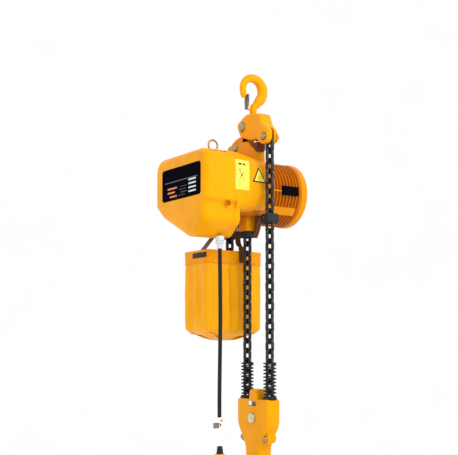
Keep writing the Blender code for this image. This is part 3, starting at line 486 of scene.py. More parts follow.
def add_rod(bm, axis, centre, radius, low, high, sides=32, edge=0.0):
    profile = [(0, low), (radius - edge, low), (radius, low + edge), (radius, high - edge),
               (radius - edge, high), (0, high)]
    if edge <= 0:
        profile = [(0, low), (radius, low), (radius, high), (0, high)]
    add_lathe(bm, axis, centre, profile, sides)


def add_ring(bm, axis, centre, inner, outer, low, high, sides=48, edge=0.5):
    add_lathe(bm, axis, centre, [(inner, low), (outer - edge, low), (outer, low + edge), (outer, high - edge),
                                 (outer - edge, high), (inner, high)], sides)


def add_hex(bm, axis, centre, radius, low, high, turn=0.0):
    outline = [Vector((centre[0] + radius * math.cos(turn + math.tau * k / 6),
                       centre[1] + radius * math.sin(turn + math.tau * k / 6))) for k in range(6)]
    edge = min(1.2, abs(high - low) * 0.2)
    add_loft(bm, axis, [(low, scaled(outline, 0.9)), (low + edge, outline), (high - edge, outline),
                        (high, scaled(outline, 0.9))])


def add_tube(bm, path, radius, sides=12, closed=False, radii=None):
    """Round tube along a path, with a frame carried smoothly from point to point."""
    count = len(path)
    rings = []
    side = None
    for i, here in enumerate(path):
        ahead = path[(i + 1) % count] if closed or i + 1 < count else here
        behind = path[i - 1] if closed or i > 0 else here
        along = (ahead - behind).normalized()
        if side is None:
            side = along.orthogonal().normalized()
        side = (side - along * side.dot(along)).normalized()
        other = along.cross(side)
        size = radii[i] if radii else radius
        rings.append([bm.verts.new(here + side * size * math.cos(math.tau * k / sides) + other * size
                                   * math.sin(math.tau * k / sides)) for k in range(sides)])
    bridge(bm, rings, capped=not closed)
    if closed:
        join_rings(bm, rings[-1], rings[0])


def join_rings(bm, low, high):
    """Close a tube, starting where the two rings lie nearest each other."""
    sides = len(low)
    offset = min(range(sides), key=lambda s: (low[0].co - high[s].co).length)
    for k in range(sides):
        n = (k + 1) % sides
        bm.faces.new((low[k], low[n], high[(n + offset) % sides], high[(k + offset) % sides]))


def smooth_path(points, per_span=8):
    """Catmull-Rom curve through given points."""
    ends = [points[0] * 2 - points[1]] + list(points) + [points[-1] * 2 - points[-2]]
    path = []
    for a, b, c, d in zip(ends, ends[1:], ends[2:], ends[3:]):
        for k in range(per_span):
            t = k / per_span
            path.append(0.5 * ((2 * b) + (c - a) * t + (2 * a - 5 * b + 4 * c - d) * t * t
                               + (3 * b - a - 3 * c + d) * t ** 3))
    path.append(points[-1])
    return path


def offset_corners(corners, amount):
    """Corners of an outline after each side has moved inward by an amount."""
    area = sum(a[0] * b[1] - b[0] * a[1] for a, b in zip(corners, corners[1:] + corners[:1]))
    side = 1.0 if area > 0 else -1.0
    moved = []
    for i, (u, v, radius) in enumerate(corners):
        here = Vector((u, v))
        before = (here - Vector(corners[i - 1][:2])).normalized()
        after = (Vector(corners[(i + 1) % len(corners)][:2]) - here).normalized()
        inward = [Vector((-d.y, d.x)) * side for d in (before, after)]
        spot = here + (inward[0] + inward[1]) * amount / (1.0 + inward[0].dot(inward[1]))
        convex = before.cross(after) * side > 0
        moved.append((spot.x, spot.y, max(radius - amount if convex else radius + amount, 1.5)))
    return moved


def add_soft_prism(bm, axis, corners, low, high, low_edge, high_edge, steps=6, arc=8):
    """Extruded outline with its own rounding at each end. Radii of 0 leave a sharp end."""
    sections = []
    for at, edge, way in ((low, low_edge, 1), (high, high_edge, -1)):
        part = []
        for k in range(steps + 1 if edge > 0 else 1):
            a = math.pi / 2 * k / steps
            part.append((at + way * edge * (1 - math.sin(a)),
                         offset_corners(corners, edge * (1 - math.cos(a)))) if edge > 0 else (at, corners))
        sections += part[::-1] if way > 0 else part
    add_loft(bm, axis, [(along, rounded(c, arc)) for along, c in sections])


def cut(bm, *cutters):
    """Take cutters away from a solid, one at a time, and weld what that leaves. It works in metres."""
    def temporary(source):
        mesh = bpy.data.meshes.new("cutting")
        bmesh.ops.recalc_face_normals(source, faces=source.faces)
        source.transform(Matrix.Scale(MM, 4))
        source.to_mesh(mesh)
        source.free()
        obj = bpy.data.objects.new("cutting", mesh)
        bpy.context.scene.collection.objects.link(obj)
        return obj
    target = temporary(bm)
    for cutter in cutters:
        tool = temporary(cutter)
        modifier = target.modifiers.new("cut", "BOOLEAN")
        modifier.operation = "DIFFERENCE"
        modifier.solver = "EXACT"
        modifier.object = tool
        graph = bpy.context.evaluated_depsgraph_get()
        mesh = bpy.data.meshes.new_from_object(target.evaluated_get(graph))
        target.modifiers.clear()
        old, target.data = target.data, mesh
        bpy.data.meshes.remove(old)
        data = tool.data
        bpy.data.objects.remove(tool)
        bpy.data.meshes.remove(data)
    result = bmesh.new()
    result.from_mesh(target.data)
    mesh = target.data
    bpy.data.objects.remove(target)
    bpy.data.meshes.remove(mesh)
    bmesh.ops.remove_doubles(result, verts=result.verts, dist=0.01 * MM)
    result.transform(Matrix.Scale(1 / MM, 4))
    return result


def solid(add, *args, **settings):
    bm = bmesh.new()
    add(bm, *args, **settings)
    return bm


# ---------------------------------------------------------------- cable

CABLE_ROUTE = [(-152.0, -19.0, -588.3), (-151.2, -19.4, -690.0), (-150.6, -19.8, -790.0),
               (-151.0, -19.5, -890.0), (-152.2, -18.9, -990.0), (-153.2, -18.4, -1090.0),
               (-153.0, -18.6, -1180.0), (-152.0, -19.0, -1253.7)]


def pendant_cable():
    """Pendant cable: straight from its clamp, with the slight wave that a new cable keeps."""
    path = smooth_path([Vector(p) for p in CABLE_ROUTE], 5)
    cable = piece("cable_jacket", solid(add_tube, path, CABLE_DIAMETER / 2 - 0.2, 20), CABLE_SKIN, "hoist",
                  ["pendant_cable"])
    tag = cable_tag()
    path = [p * MM for p in path]


def cable_tag():
    """Plastic capacity tag tied on the cable, with a printed block, a stud and a mark."""
    low, high = low_of("cable_tag"), high_of("cable_tag")
    tag = piece("tag_board", solid(add_prism, "y", box_outline(low.x, high.x, low.z, high.z, 3), low.y,
                                   high.y, 0.6), WHITE_PLASTIC, "hoist", ["cable_tag"])
    front = low.y - 0.15
    details = (("tag_print", GREY_PLASTIC, [box_outline(low.x + 1, low.x + 25, high.z - 36, high.z - 17, 1)]),
               ("tag_stud", PRINT_DIM, [box_outline(high.x - 15, high.x - 9, high.z - 30, high.z - 20, 2.8)]),
               ("tag_mark", PRINT_ORANGE, [box_outline(high.x - 13, high.x - 3, high.z - 14, high.z - 7, 1)]))
    for name, mat, outlines in details:
        bm = bmesh.new()
        for outline in outlines:
            add_prism(bm, "y", outline, front - 0.15, low.y, 0.0)
        print_piece = piece(name, bm, mat, "hoist")
        print_piece.parent = tag.parent
    return tag


pendant_cable()


# ---------------------------------------------------------------- hooks and latches

def hook_stations(x, y, seat_z, way, bowl_r, body, neck, neck_length):
    """(centre, width, depth) from a hook's tip round its bowl to its neck. way is 1 for a bowl on top."""
    centre_z = seat_z - way * bowl_r
    stations = []
    for k in range(13):
        angle = math.radians(200 - 245 * k / 12)
        thick = body * (0.62 + 0.38 * min(1.0, k / 9) ** 1.6)
        radius = bowl_r + thick / 2
        stations.append((Vector((x + radius * math.cos(angle) - 6, y,
                                 centre_z + way * radius * math.sin(angle))), thick, thick * 0.86))
    tip = stations[0][0]
    stations.insert(0, (Vector((tip.x + 0.2, y, tip.z - way * 9)), body * 0.52, body * 0.5))
    stations.insert(0, (Vector((tip.x + 0.5, y, tip.z - way * 17)), body * 0.30, body * 0.3))
    last = stations[-1][0]
    neck_z = centre_z - way * (bowl_r + body * 0.98)
    for share in (0.35, 0.7):
        size = neck + (body - neck) * (1 - share) ** 2
        stations.append((last.lerp(Vector((x, y, neck_z)), share), size, size))
    stations.append((Vector((x, y, neck_z)), neck, neck))
    stations.append((Vector((x, y, neck_z - way * neck_length)), neck, neck))
    return stations


def hook(name, body, node, x, y, seat_z, way, bowl_r, thick, neck, neck_length, hinge_z):
    """Forged hook with a section that is broad inside the bowl, and its latch ear."""
    stations = hook_stations(x, y, seat_z, way, bowl_r, thick, neck, neck_length)
    packed = [Vector((s[0].x, s[0].z, s[1])) for s in stations]
    depths = [Vector((s[2], 0, 0)) for s in stations]
    path, widths = smooth_path(packed, 7), smooth_path(depths, 7)
    bm = bmesh.new()
    sides = 36
    rings = []
    for i, (spot, depth) in enumerate(zip(path, widths)):
        ahead = path[min(i + 1, len(path) - 1)] - path[max(i - 1, 0)]
        along = Vector((ahead.x, 0, ahead.y)).normalized()
        outward = Vector((0, 1, 0)).cross(along)
        share = i / (len(path) - 1)
        wedge = 0.16 * max(0.0, math.sin(math.pi * min(1.0, share / 0.72)))
        ring = []
        for k in range(sides):
            a = math.tau * k / sides
            c, s = math.cos(a), math.sin(a)
            power = 0.86
            u = math.copysign(abs(c) ** power, c) * spot.z / 2
            v = math.copysign(abs(s) ** power, s) * depth.x / 2 * (1 + wedge * c * way)
            ring.append(bm.verts.new(Vector((spot.x, y, spot.y)) + outward * u + Vector((0, v, 0))))
        rings.append(ring)
    bridge(bm, rings)
    piece(name, bm, PAINT_ROUGH, body, [node], 50.0)
    piece(name + "_ear", solid(add_soft_prism, "y", [(-31, hinge_z - 5, 4.9), (-31, hinge_z + 5, 4.9),
                                                     (-4, hinge_z + 7, 1), (-4, hinge_z - 7, 1)], y - 4,
                               y + 4, 1, 1), PAINT_ROUGH, body)


def latch(name, body, node, y, hinge_z, way):
    """Pressed-steel latch: a folded channel that tapers to its hinge, with its pin and spring."""
    bm = bmesh.new()
    foot, tip = Vector((-28, hinge_z - way * 3.5)), Vector((-26, hinge_z + way * 47.5))
    count = 16
    thick = 1.6
    rows = []
    for k in range(count + 1):
        t = k / count
        centre = foot.lerp(tip, t) + Vector((-math.sin(math.pi * t) * 1.2, 0))
        half = (5.0 + 4.0 * min(1.0, t * 1.6))
        depth = (2.6 + 2.4 * math.sin(math.pi * min(1.0, 0.15 + t * 0.8)))
        section = [(depth, -half), (-depth * 0.6, -half), (-depth, -half * 0.75), (-depth, half * 0.75),
                   (-depth * 0.6, half), (depth, half), (depth, half - thick),
                   (-depth * 0.6 + thick, half - thick), (-depth + thick, half * 0.7),
                   (-depth + thick, -half * 0.7), (-depth * 0.6 + thick, -half + thick),
                   (depth, -half + thick)]
        rows.append([bm.verts.new((centre.x + u, y + v, centre.y)) for u, v in section])
    bridge(bm, rows)
    piece(name, bm, LATCH_STEEL, body, [node], 40.0, 0.5, 2)
    bm = bmesh.new()
    add_rod(bm, "y", (LATCH_X, hinge_z), 2.6, y - 11, y + 11, 20, 0.6)
    for end in (-1, 1):
        add_rod(bm, "y", (LATCH_X, hinge_z), 4.2, y + end * 10.2 - 0.9, y + end * 10.2 + 0.9, 20, 0.5)
    path = []
    for k in range(60):
        a = math.tau * 4 * k / 59
        path.append(Vector((LATCH_X + 3.7 * math.cos(a), y + 4.9 + 3.6 * k / 59,
                            hinge_z + 3.7 * math.sin(a))))
    path.append(path[-1] + Vector((2, 0.4, way * 14)))
    add_tube(bm, path, 0.6, 8)
    piece(name + "_pin", bm, ZINC, body)


hook("top_hook_forging", "top_hook", "top_hook", 0, 0, 0, 1, 27.5, 36, 24, 48, TOP_LATCH_Z)
hook("bottom_hook_forging", "bottom_hook", "bottom_hook", 0, SHEAVE.y, -1412, -1, 29, 36, 24, 56,
     BOTTOM_LATCH_Z)
latch("top_latch_plate", "top_latch", "top_latch", 0, TOP_LATCH_Z, 1)
latch("bottom_latch_plate", "bottom_latch", "bottom_latch", SHEAVE.y, BOTTOM_LATCH_Z, -1)


# ---------------------------------------------------------------- yoke and lug

YOKE_HALF_X = 25.0
YOKE_CORNERS = [(-66, -122, 7), (-84, -160, 16), (-122, -186, 17), (-122, -230, 22), (-78, -230, 20),
                (-52, -208, 12), (-14, -206, 10), (45, -186, 9), (70, -138, 13), (17, -113, 8),
                (-19, -113, 8), (-30, -118, 8)]


def yoke():
    """Two cast halves, clamped round the hook's nut, with a boss round each pin."""
    for node, side in (("yoke_front", -1), ("yoke_rear", 1)):
        near, far = side * SEAM, side * YOKE_HALF_X
        low, high = sorted((near, far))
        edges = (6, 0) if side < 0 else (0, 6)
        shape = YOKE_CORNERS if side < 0 else [(max(u, -108), v, r) for u, v, r in YOKE_CORNERS]
        outer = solid(add_soft_prism, "x", shape, low, high, *edges)
        half = cut(outer, solid(add_prism, "x", box_outline(11, 90, -230, -130, 3), -13.6, 13.6),
                   solid(add_prism, "x", box_outline(-140, -72, -250, -174, 4), -10, 10),
                   solid(add_rod, "z", (0, 0), 13.4, -131, -90, 40))
        piece(node + "_casting", half, PAINT_ROUGH, "hoist", [node], 32.0, 0.9, 2)
        column = bmesh.new()
        outline = [Vector((side * math.sqrt(max(0.0, 27.5 ** 2 - a ** 2)), a)) for a in range(-22, 23, 2)]
        outline += [Vector((side * 14, 22)), Vector((side * 14, -22))]
        add_loft(column, "z", [(-192, scaled(outline, 0.93)), (-188, outline), (-121, outline),
                               (-115, scaled(outline, 0.90))])
        piece(node + "_column", column, PAINT_ROUGH, "hoist")
        bosses = bmesh.new()
        for (y, z), radius in (((PIN.y, PIN.z), 22), ((DEAD_PIN.y, DEAD_PIN.z), (18.5 - 2.5 * side))):
            profile = [(0, far - side * 6), (radius + 2.5, far - side * 6), (radius + 1.5, far - side * 0.5),
                       (radius, far + side * 1.4), (radius - 1.5, far + side * 2.0),
                       (radius - 4.5, far + side * 1.9), (radius - 5.3, far + side * 0.6),
                       (0, far + side * 0.6)]
            add_lathe(bosses, "x", (y, z), profile, 48)
        piece(node + "_bosses", bosses, PAINT_ROUGH, "hoist")
    piece("yoke_seam", solid(add_prism, "x", box_outline(-60, 40, -184, -124, 8), -0.4, 0.4), BLACK_STEEL,
          "hoist")


def yoke_pins():
    """Suspension pin and dead-end pin: domed head, washer, and a castle nut with its split pin."""
    for node, (y, z), radius, head in (("suspension_pin", (PIN.y, PIN.z), 11, 15.5),
                                       ("dead_end_pin", (DEAD_PIN.y, DEAD_PIN.z), 7, 11)):
        face = -YOKE_HALF_X - 0.8
        bm = bmesh.new()
        profile = [(0, face - 8), (head * 0.42, face - 7.8), (head * 0.76, face - 6.4),
                   (head * 0.95, face - 4), (head, face - 1.6), (head, face + 1), (radius, face + 1),
                   (radius, -face + 6), (0, -face + 6)]
        add_lathe(bm, "x", (y, z), profile, 40)
        add_hex(bm, "x", (y, z), head * 1.05, -face - 0.5, -face + 7)
        add_tube(bm, [Vector((-face + 5, y - head * 1.2, z)), Vector((-face + 5, y + head * 1.2, z))], 1.5,
                 10)
        piece(node + "_steel", bm, PIN_STEEL, "hoist", [node])
        piece(node + "_washer", solid(add_ring, "x", (y, z), head * 0.98, head * 1.22, face + 0.2,
                                      face + 1.6), PIN_STEEL, "hoist")


def lug():
    """Half-round lug on the casing, cored on both sides, with the tongue that goes into the yoke."""
    half = 23
    foot = -300
    corners = [(-42, foot, 1), (-36, -242, 8), (10, -204, 26), (118, -203.5, 16), (142, -226, 16),
               (150, foot, 1)]
    outer = solid(add_soft_prism, "x", corners, -half, half, 4, 4)
    cores = []
    for side in (-1, 1):
        for y, z, radius in ((62, -193, 5), (-14, -214, 4)):
            cores.append(solid(add_rod, "x", (y, z - 12), radius, side * half - 4, side * half + 4, 24))
    body = cut(outer, *cores)
    # The lug and its tongue take the shaded enamel as painted shade.
    piece("lug_casting", body, PAINT_SHADE, "hoist", ["suspension_lug"], 35.0, 0.8, 2)
    tongue = bmesh.new()
    add_soft_prism(tongue, "x", [(12, -236, 1), (12, PIN.z + 18, 17.5), (48, PIN.z + 18, 17.5),
                                 (48, -236, 1)], -13, 13, 2, 2)
    arc = [Vector((60 + 95 * math.cos(a), -275 + 95 * math.sin(a)))
           for a in [math.radians(9 + 110 * k / 40) for k in range(41)]]
    web = [Vector((arc[-1].x, -250)), Vector((arc[0].x, -260)), *arc]
    add_loft(tongue, "x", [(-13, shrink(web, 1.5)), (-11.5, web), (11.5, web), (13, shrink(web, 1.5))])
    piece("lug_tongue", tongue, PAINT_SHADE, "hoist", (), 30.0)
    bolt = bmesh.new()
    spot = (LUG_BOLT.y, LUG_BOLT.z)
    add_ring(bolt, "x", spot, 6, 14, -half - 2.2, -half - 0.2)
    add_lathe(bolt, "x", spot, [(0, -half - 10.5), (6.5, -half - 10.3), (10, -half - 9), (11.4, -half - 6.5),
                                (11.6, -half - 2), (0, -half - 2)], 36)
    add_ring(bolt, "x", spot, 6, 14, half + 0.2, half + 2.2)
    add_hex(bolt, "x", spot, 13, half + 2, half + 9)
    piece("lug_bolt_steel", bolt, PIN_STEEL, "hoist", ["lug_bolt"], 38.0)
    piece("lug_buffer", solid(add_soft_prism, "x", box_corners(-48, -10, -246, -214, 8), -17, 17, 3, 3),
          GUARD_BROWN, "hoist")


yoke()
yoke_pins()
lug()


# ---------------------------------------------------------------- body

def cover_corners():
    """Section (y, z) of the control cover: broad above, stepped in and sloped below."""
    y0, y1 = COVER_LOW.y, COVER_HIGH.y
    top, bottom = COVER_HIGH.z, COVER_LOW.z
    step = 14
    return [(y0, top, 48), (y0, -428, 9), (y0 + step, -441, 9), (y0 + step, bottom + 46, 30),
            (y0 + 70, bottom, 30), (y1 - 206, bottom, 40), (y1 - 48, bottom + 76, 24), (y1, -428, 10),
            (y1, top, 48)]


def control_cover():
    """Deep-drawn pan over the controls, with soft shoulders and a slightly crowned end."""
    corners = cover_corners()
    edge = 20
    steps = 9
    sections = []
    x = COVER_LOW.x
    sections.append((x - 0.6, rounded(offset_corners(corners, 28), 10)))
    for k in range(steps, -1, -1):
        a = math.pi / 2 * k / steps
        sections.append((x + 24 * (1 - math.sin(a)), rounded(offset_corners(corners,
                                                                            edge * (1 - math.cos(a))), 10)))
    sections.append((COVER_HIGH.x, rounded(corners, 10)))
    bm = bmesh.new()
    add_loft(bm, "x", sections)
    hollow = bmesh.new()
    inner = rounded(offset_corners(corners, 6), 6)
    add_loft(hollow, "x", [(x + 8, rounded(offset_corners(corners, 22), 6)), (x + 28, inner),
                           (COVER_HIGH.x + 5, inner)])
    piece("cover_pan", cut(bm, hollow), PAINT, "hoist", ["control_cover"], 26.0)


def superellipse(centre, half_y, half_z, power, count=120):
    points = []
    for k in range(count):
        a = math.tau * (k + 0.5) / count
        c, s = math.cos(a), math.sin(a)
        radius = (abs(c / half_y) ** power + abs(s / half_z) ** power) ** (-1.0 / power)
        points.append(Vector((centre.x + radius * c, centre.y + radius * s)))
    return points


def polar(outline, centre, count=120):
    """The same outline, with its points at even angles round a centre."""
    points = []
    for k in range(count):
        a = math.tau * (k + 0.5) / count
        way = Vector((math.cos(a), math.sin(a)))
        best = 0.0
        for p, q in zip(outline, outline[1:] + outline[:1]):
            edge = q - p
            cross = way.cross(edge)
            if abs(cross) < 1e-9:
                continue
            reach = (p - centre).cross(edge) / cross
            share = (p - centre).cross(way) / cross
            if reach > 0 and -1e-6 <= share <= 1 + 1e-6:
                best = max(best, reach)
        points.append(centre + way * best)
    return points


def gear_casing():
    """Gear casing: the cover's square shoulders at one end, which swell to a barrel at the motor."""
    top, bottom = -260, UNDERSIDE
    y0, y1 = COVER_LOW.y, COVER_HIGH.y
    centre = Vector((AXIS.y, (top + bottom) / 2))
    start, end = CASING_LOW.x, CASING_HIGH.x
    square = polar(rounded([(y0, COVER_HIGH.z, 48), (y0, bottom, 34), (y1, bottom, 34),
                            (y1, COVER_HIGH.z, 48)], 12), centre)
    barrel = superellipse(centre, 156, 102, 3.5)
    sections = []
    for k in range(25):
        t = k / 24
        x = start + (end - 9 - start) * t
        blend = t * t * (3 - 2 * t) * 0.6 + t * 0.4
        sections.append((x, [p.lerp(q, blend) for p, q in zip(square, barrel)]))
    outline = sections[-1][1]
    for k in range(1, 7):
        a = math.pi / 2 * k / 6
        sections.append((end - 9 + 9 * math.sin(a), shrink(outline, 9 * (1 - math.cos(a)))))
    piece("casing_shell", solid(add_loft, "x", sections), PAINT, "hoist", ["gear_casing"],
          30.0)
    flange = bmesh.new()
    add_soft_prism(flange, "x", cover_corners(), start, -98, 0.0, 2.5, 4, 10)
    low = bmesh.new()
    add_soft_prism(low, "x", offset_corners(cover_corners(), 7), -106, -80, 0, 0, 1, 6)
    piece("casing_flange", cut(flange, low), PAINT, "hoist", (), 26.0)
    # The web and the sill below it take the darker enamel as painted shade.
    piece("casing_web", solid(add_soft_prism, "x", offset_corners(cover_corners(), 7), start + 2, -107, 0, 0,
                              1, 6), DEEP_SHADE_PAINT, "hoist", (), 30.0)
    outline = rounded([(AXIS.y - 128, -440, 4), (AXIS.y - 116, -466, 14), (AXIS.y + 128, -466, 14),
                       (AXIS.y + 140, -440, 4)], 6)
    piece("casing_sill", solid(add_loft, "x", [(-107, outline), (14, outline), (20, shrink(outline, 4))]),
          DEEP_SHADE_PAINT, "hoist", (), 30.0)


def gear_plate():
    corners = offset_corners(cover_corners(), 0.15)
    piece("gear_plate_sheet", solid(add_soft_prism, "x", corners, low_of("gear_plate").x,
                                    high_of("gear_plate").x, 0, 0, 1, 8), PAINT, "hoist",
          ["gear_plate"], 26.0)


def motor():
    """Motor housing with ring fins, an end ring, a smooth terminal pad and a rib across the fins."""
    radius = 113
    root = 103
    start, end = 66, 192
    fins = 9
    step = (end - start) / fins
    profile = [(radius - 4, MOTOR_LOW.x), (radius - 1, MOTOR_LOW.x + 1), (radius, MOTOR_LOW.x + 4),
               (radius, start - 2)]
    for k in range(fins):
        at = start + k * step
        profile += [(radius - 0.6, at - 1.2), (root + 2, at + 0.8), (root, at + 2.4), (root, at + step - 7.6),
                    (root + 2, at + step - 6.2), (radius - 0.8, at + step - 5.0), (radius, at + step - 4.0),
                    (radius, at + step - 2.2)]
    profile += [(radius, MOTOR_HIGH.x), (91, MOTOR_HIGH.x), (91, MOTOR_LOW.x)]
    # The motor's shell and flange take the darker enamel as painted shade.
    piece("motor_shell", solid(add_lathe, "x", (AXIS.y, AXIS.z), profile, 120), DEEP_SHADE_PAINT, "hoist",
          ["motor_housing"])
    piece("motor_flange", solid(add_lathe, "x", (AXIS.y, AXIS.z),
                                [(100, MOTOR_LOW.x - 1), (radius + 1.5, MOTOR_LOW.x + 1),
                                 (radius + 3, MOTOR_LOW.x + 4), (radius + 3, MOTOR_LOW.x + 16),
                                 (radius + 1.5, MOTOR_LOW.x + 18), (100, MOTOR_LOW.x + 18)], 120), DEEP_SHADE_PAINT,
          "hoist", (), 35.0)
    details = bmesh.new()

    def across(angle, half, low, high, x0, x1):
        a = math.radians(angle)
        out, side = Vector((-math.cos(a), math.sin(a))), Vector((math.sin(a), math.cos(a)))
        origin = Vector((AXIS.y, AXIS.z))
        outline = [origin + out * low - side * half, origin + out * low + side * half,
                   origin + out * (high - 1.5) + side * half, origin + out * high + side * (half - 1.5),
                   origin + out * high - side * (half - 1.5), origin + out * (high - 1.5) - side * half]
        add_loft(details, "x", [(x0, scaled(outline, 0.97)), (x0 + 1.5, outline), (x1 - 1.5, outline),
                                (x1, scaled(outline, 0.97))])
    across(-1, 2.5, 98, 113.6, start - 2, 108)
    across(-38, 15, 96, 114, start - 4, 180)
    across(90, 4, 98, 113.6, start - 2, end)
    across(180, 9, 96, 114, start - 2, end)
    # The ribs take the shaded enamel as painted shade.
    piece("motor_ribs", details, PAINT_SHADE, "hoist", (), 35.0)
    bolts = bmesh.new()
    for k in range(6):
        a = math.tau * (k + 0.5) / 6
        spot = (AXIS.y + 105 * math.cos(a), AXIS.z + 105 * math.sin(a))
        add_rod(bolts, "x", spot, 4, FAN_HIGH.x - 24, FAN_HIGH.x - 5, 16, 1)
    piece("fan_cover_screws", bolts, ZINC, "hoist")


def fan_cover():
    """Drawn cover over the fan and brake: smooth side, domed end with air slots."""
    radius = 114.5
    x0, x1 = FAN_LOW.x, FAN_HIGH.x
    profile = [(radius - 1.5, x0), (radius - 0.4, x0 + 0.6), (radius, x0 + 2)]
    for k in range(11):
        a = math.pi / 2 * k / 10
        profile.append((radius - 18 * (1 - math.cos(a)), x1 - 18 + 16 * math.sin(a)))
    profile += [(80, x1 - 0.6), (40, x1), (0, x1)]
    profile += [(0, x1 - 2.5), (80, x1 - 3.2), (radius - 19, x1 - 5), (radius - 7, x1 - 12),
                (radius - 3, x1 - 20), (radius - 3, x0)]
    bm = bmesh.new()
    add_lathe(bm, "x", (AXIS.y, AXIS.z), profile, 96)
    slots = []
    for row in range(-3, 4):
        z = AXIS.z + row * 22
        half = math.sqrt(max(0.0, 78 ** 2 - (row * 22) ** 2))
        slots.append(solid(add_prism, "x", box_outline(AXIS.y - half, AXIS.y + half, z - 4, z + 4, 3.9),
                           x1 - 30, x1 + 6))
    # The fan cover takes the shaded enamel as painted shade.
    piece("fan_shell", cut(bm, *slots), PAINT_SHADE, "hoist", ["fan_cover"], 35.0)
    piece("fan_mesh", solid(add_rod, "x", (AXIS.y, AXIS.z), 92, x1 - 15, x1 - 13, 64), BLACK_PLASTIC, "hoist")


def seam_and_screws():
    """Parting bead near the cover's top edge, its plug, and the cover's recessed screws."""
    y, z = COVER_LOW.y, COVER_HIGH.z
    turn = math.radians(128)
    spot = Vector((y + 48 + 48.3 * math.cos(turn) * 1.0, z - 48 + 48.3 * math.sin(turn)))
    path = [Vector((x, spot.x, spot.y)) for x in (-222, -200, -178, -158, -140)]
    # The bead takes the darker enamel as painted shade along the seam.
    piece("cover_bead", solid(add_tube, path, 1.1, 10, radii=[0.4, 1.1, 1.1, 1.1, 0.4]), DEEP_SHADE_PAINT, "hoist")
    piece("cover_plug", solid(add_lathe, "z", (-152, y + 26),
                              [(0, z - 3), (7, z - 8), (6, z - 18), (0, z - 18)], 24), RED_PLASTIC, "hoist")
    screws, wells = bmesh.new(), bmesh.new()
    for x, y_face, z_spot, way in ((-155, COVER_LOW.y + 5, -441, 1), (-155, COVER_HIGH.y, -400, -1)):
        side = -way
        add_lathe(wells, "y", (x, z_spot), [(0, y_face + side * 2), (8.5, y_face + side * 2),
                                            (9.5, y_face + side * 5), (7.2, y_face + side * 6.2),
                                            (5.6, y_face + side * 3), (0, y_face + side * 3)], 28)
        add_rod(screws, "y", (x, z_spot), 4.8, *sorted((y_face, y_face + side * 4.4)), 24, 1)
    # Wells and screws take the darker orange as painted shade in the recesses.
    piece("cover_screw_wells", wells, RECESS_SHADE_ORANGE, "hoist")
    piece("cover_screws", screws, RECESS_SHADE_ORANGE, "hoist")
    bolts = bmesh.new()
    for y_spot, z_spot in ((COVER_LOW.y + 36, -520), (COVER_HIGH.y - 84, -468)):
        add_hex(bolts, "x", (y_spot, z_spot), 7, -98.5, -93)
        add_ring(bolts, "x", (y_spot, z_spot), 3, 9, -99.5, -98, 28)
    piece("flange_bolts", bolts, PIN_STEEL, "hoist")


control_cover()
gear_casing()
gear_plate()
motor()
fan_cover()
seam_and_screws()


# ---------------------------------------------------------------- plates and labels

def skin_of(*names):
    """Surfaces of finished pieces, for laying labels on them."""
    trees = []
    graph = bpy.context.evaluated_depsgraph_get()
    for name in names:
        bm = bmesh.new()
        bm.from_object(bpy.data.objects[name], graph)
        bm.transform(Matrix.Scale(1 / MM, 4) @ bpy.data.objects[name].matrix_world)
        trees.append(BVHTree.FromBMesh(bm))
        bm.free()
    return trees


def near_side(skins, x, z):
    """Depth (y) of the first surface met from the near side at a place (x, z)."""
    hits = [tree.ray_cast(Vector((x, -600, z)), Vector((0, 1, 0)))[0] for tree in skins]
    return min(hit.y for hit in hits if hit is not None)


def decal(name, mat, skins, corners, lift, cuts=10):
    """Thin label that follows the near side of the body, from (x, z) corners."""
    bm = bmesh.new()
    face = bm.faces.new([bm.verts.new((x, 0, z)) for x, z in corners])
    if len(corners) > 4:
        bmesh.ops.triangulate(bm, faces=[face])
    bmesh.ops.subdivide_edges(bm, edges=bm.edges[:], cuts=cuts, use_grid_fill=True)
    bmesh.ops.triangulate(bm, faces=bm.faces[:])
    for vert in bm.verts:
        vert.co.y = near_side(skins, vert.co.x, vert.co.z) - lift
    solid_label = bmesh.ops.extrude_face_region(bm, geom=bm.faces[:])
    for item in solid_label["geom"]:
        if isinstance(item, bmesh.types.BMVert):
            item.co.y -= 0.2
    return piece(name, bm, mat, "hoist", (), 30.0)


def bar(x0, x1, z0, z1):
    return [(x0, z0), (x1, z0), (x1, z1), (x0, z1)]


def rod_mark(x0, z0, x1, z1, width):
    """Corners of a stroke from one place to another."""
    along = Vector((x1 - x0, z1 - z0)).normalized()
    side = Vector((-along.y, along.x)) * width / 2
    return [(x0 - side.x, z0 - side.y), (x1 - side.x, z1 - side.y), (x1 + side.x, z1 + side.y),
            (x0 + side.x, z0 + side.y)]


def side_labels():
    """Two plain labels on the near side: a card with marks and a triangle. Neither has lettering."""
    skins = skin_of("casing_shell", "casing_flange", "gear_plate_sheet", "cover_pan")
    decal("label_card", PRINT_YELLOW, skins, bar(-127, -68, -392, -292), 0.4)
    decal("label_card_head", PRINT_BLACK, skins, bar(-116, -86, -309, -303), 0.6, cuts=4)
    marks = [rod_mark(-113, -362, -93, -330, 2.2), rod_mark(-111, -328, -89, -360, 2.2),
             rod_mark(-114, -326, -99, -322, 2.0), rod_mark(-105, -344, -93, -338, 3.4)]
    for number, corners in enumerate(marks, 1):
        decal(f"label_card_mark_{number}", PRINT_BLACK, skins, corners, 0.6, cuts=5)
    decal("label_triangle_edge", PRINT_BLACK, skins, [(-53, -359.5), (8, -359.5), (-26, -306)], 0.3, cuts=12)
    decal("label_triangle", PRINT_YELLOW, skins, [(-45, -355), (0.5, -355), (-25.5, -315)], 0.5, cuts=10)
    decal("label_triangle_mark", PRINT_AMBER, skins, [(-30, -349), (-18, -349), (-25, -331)], 0.7, cuts=3)


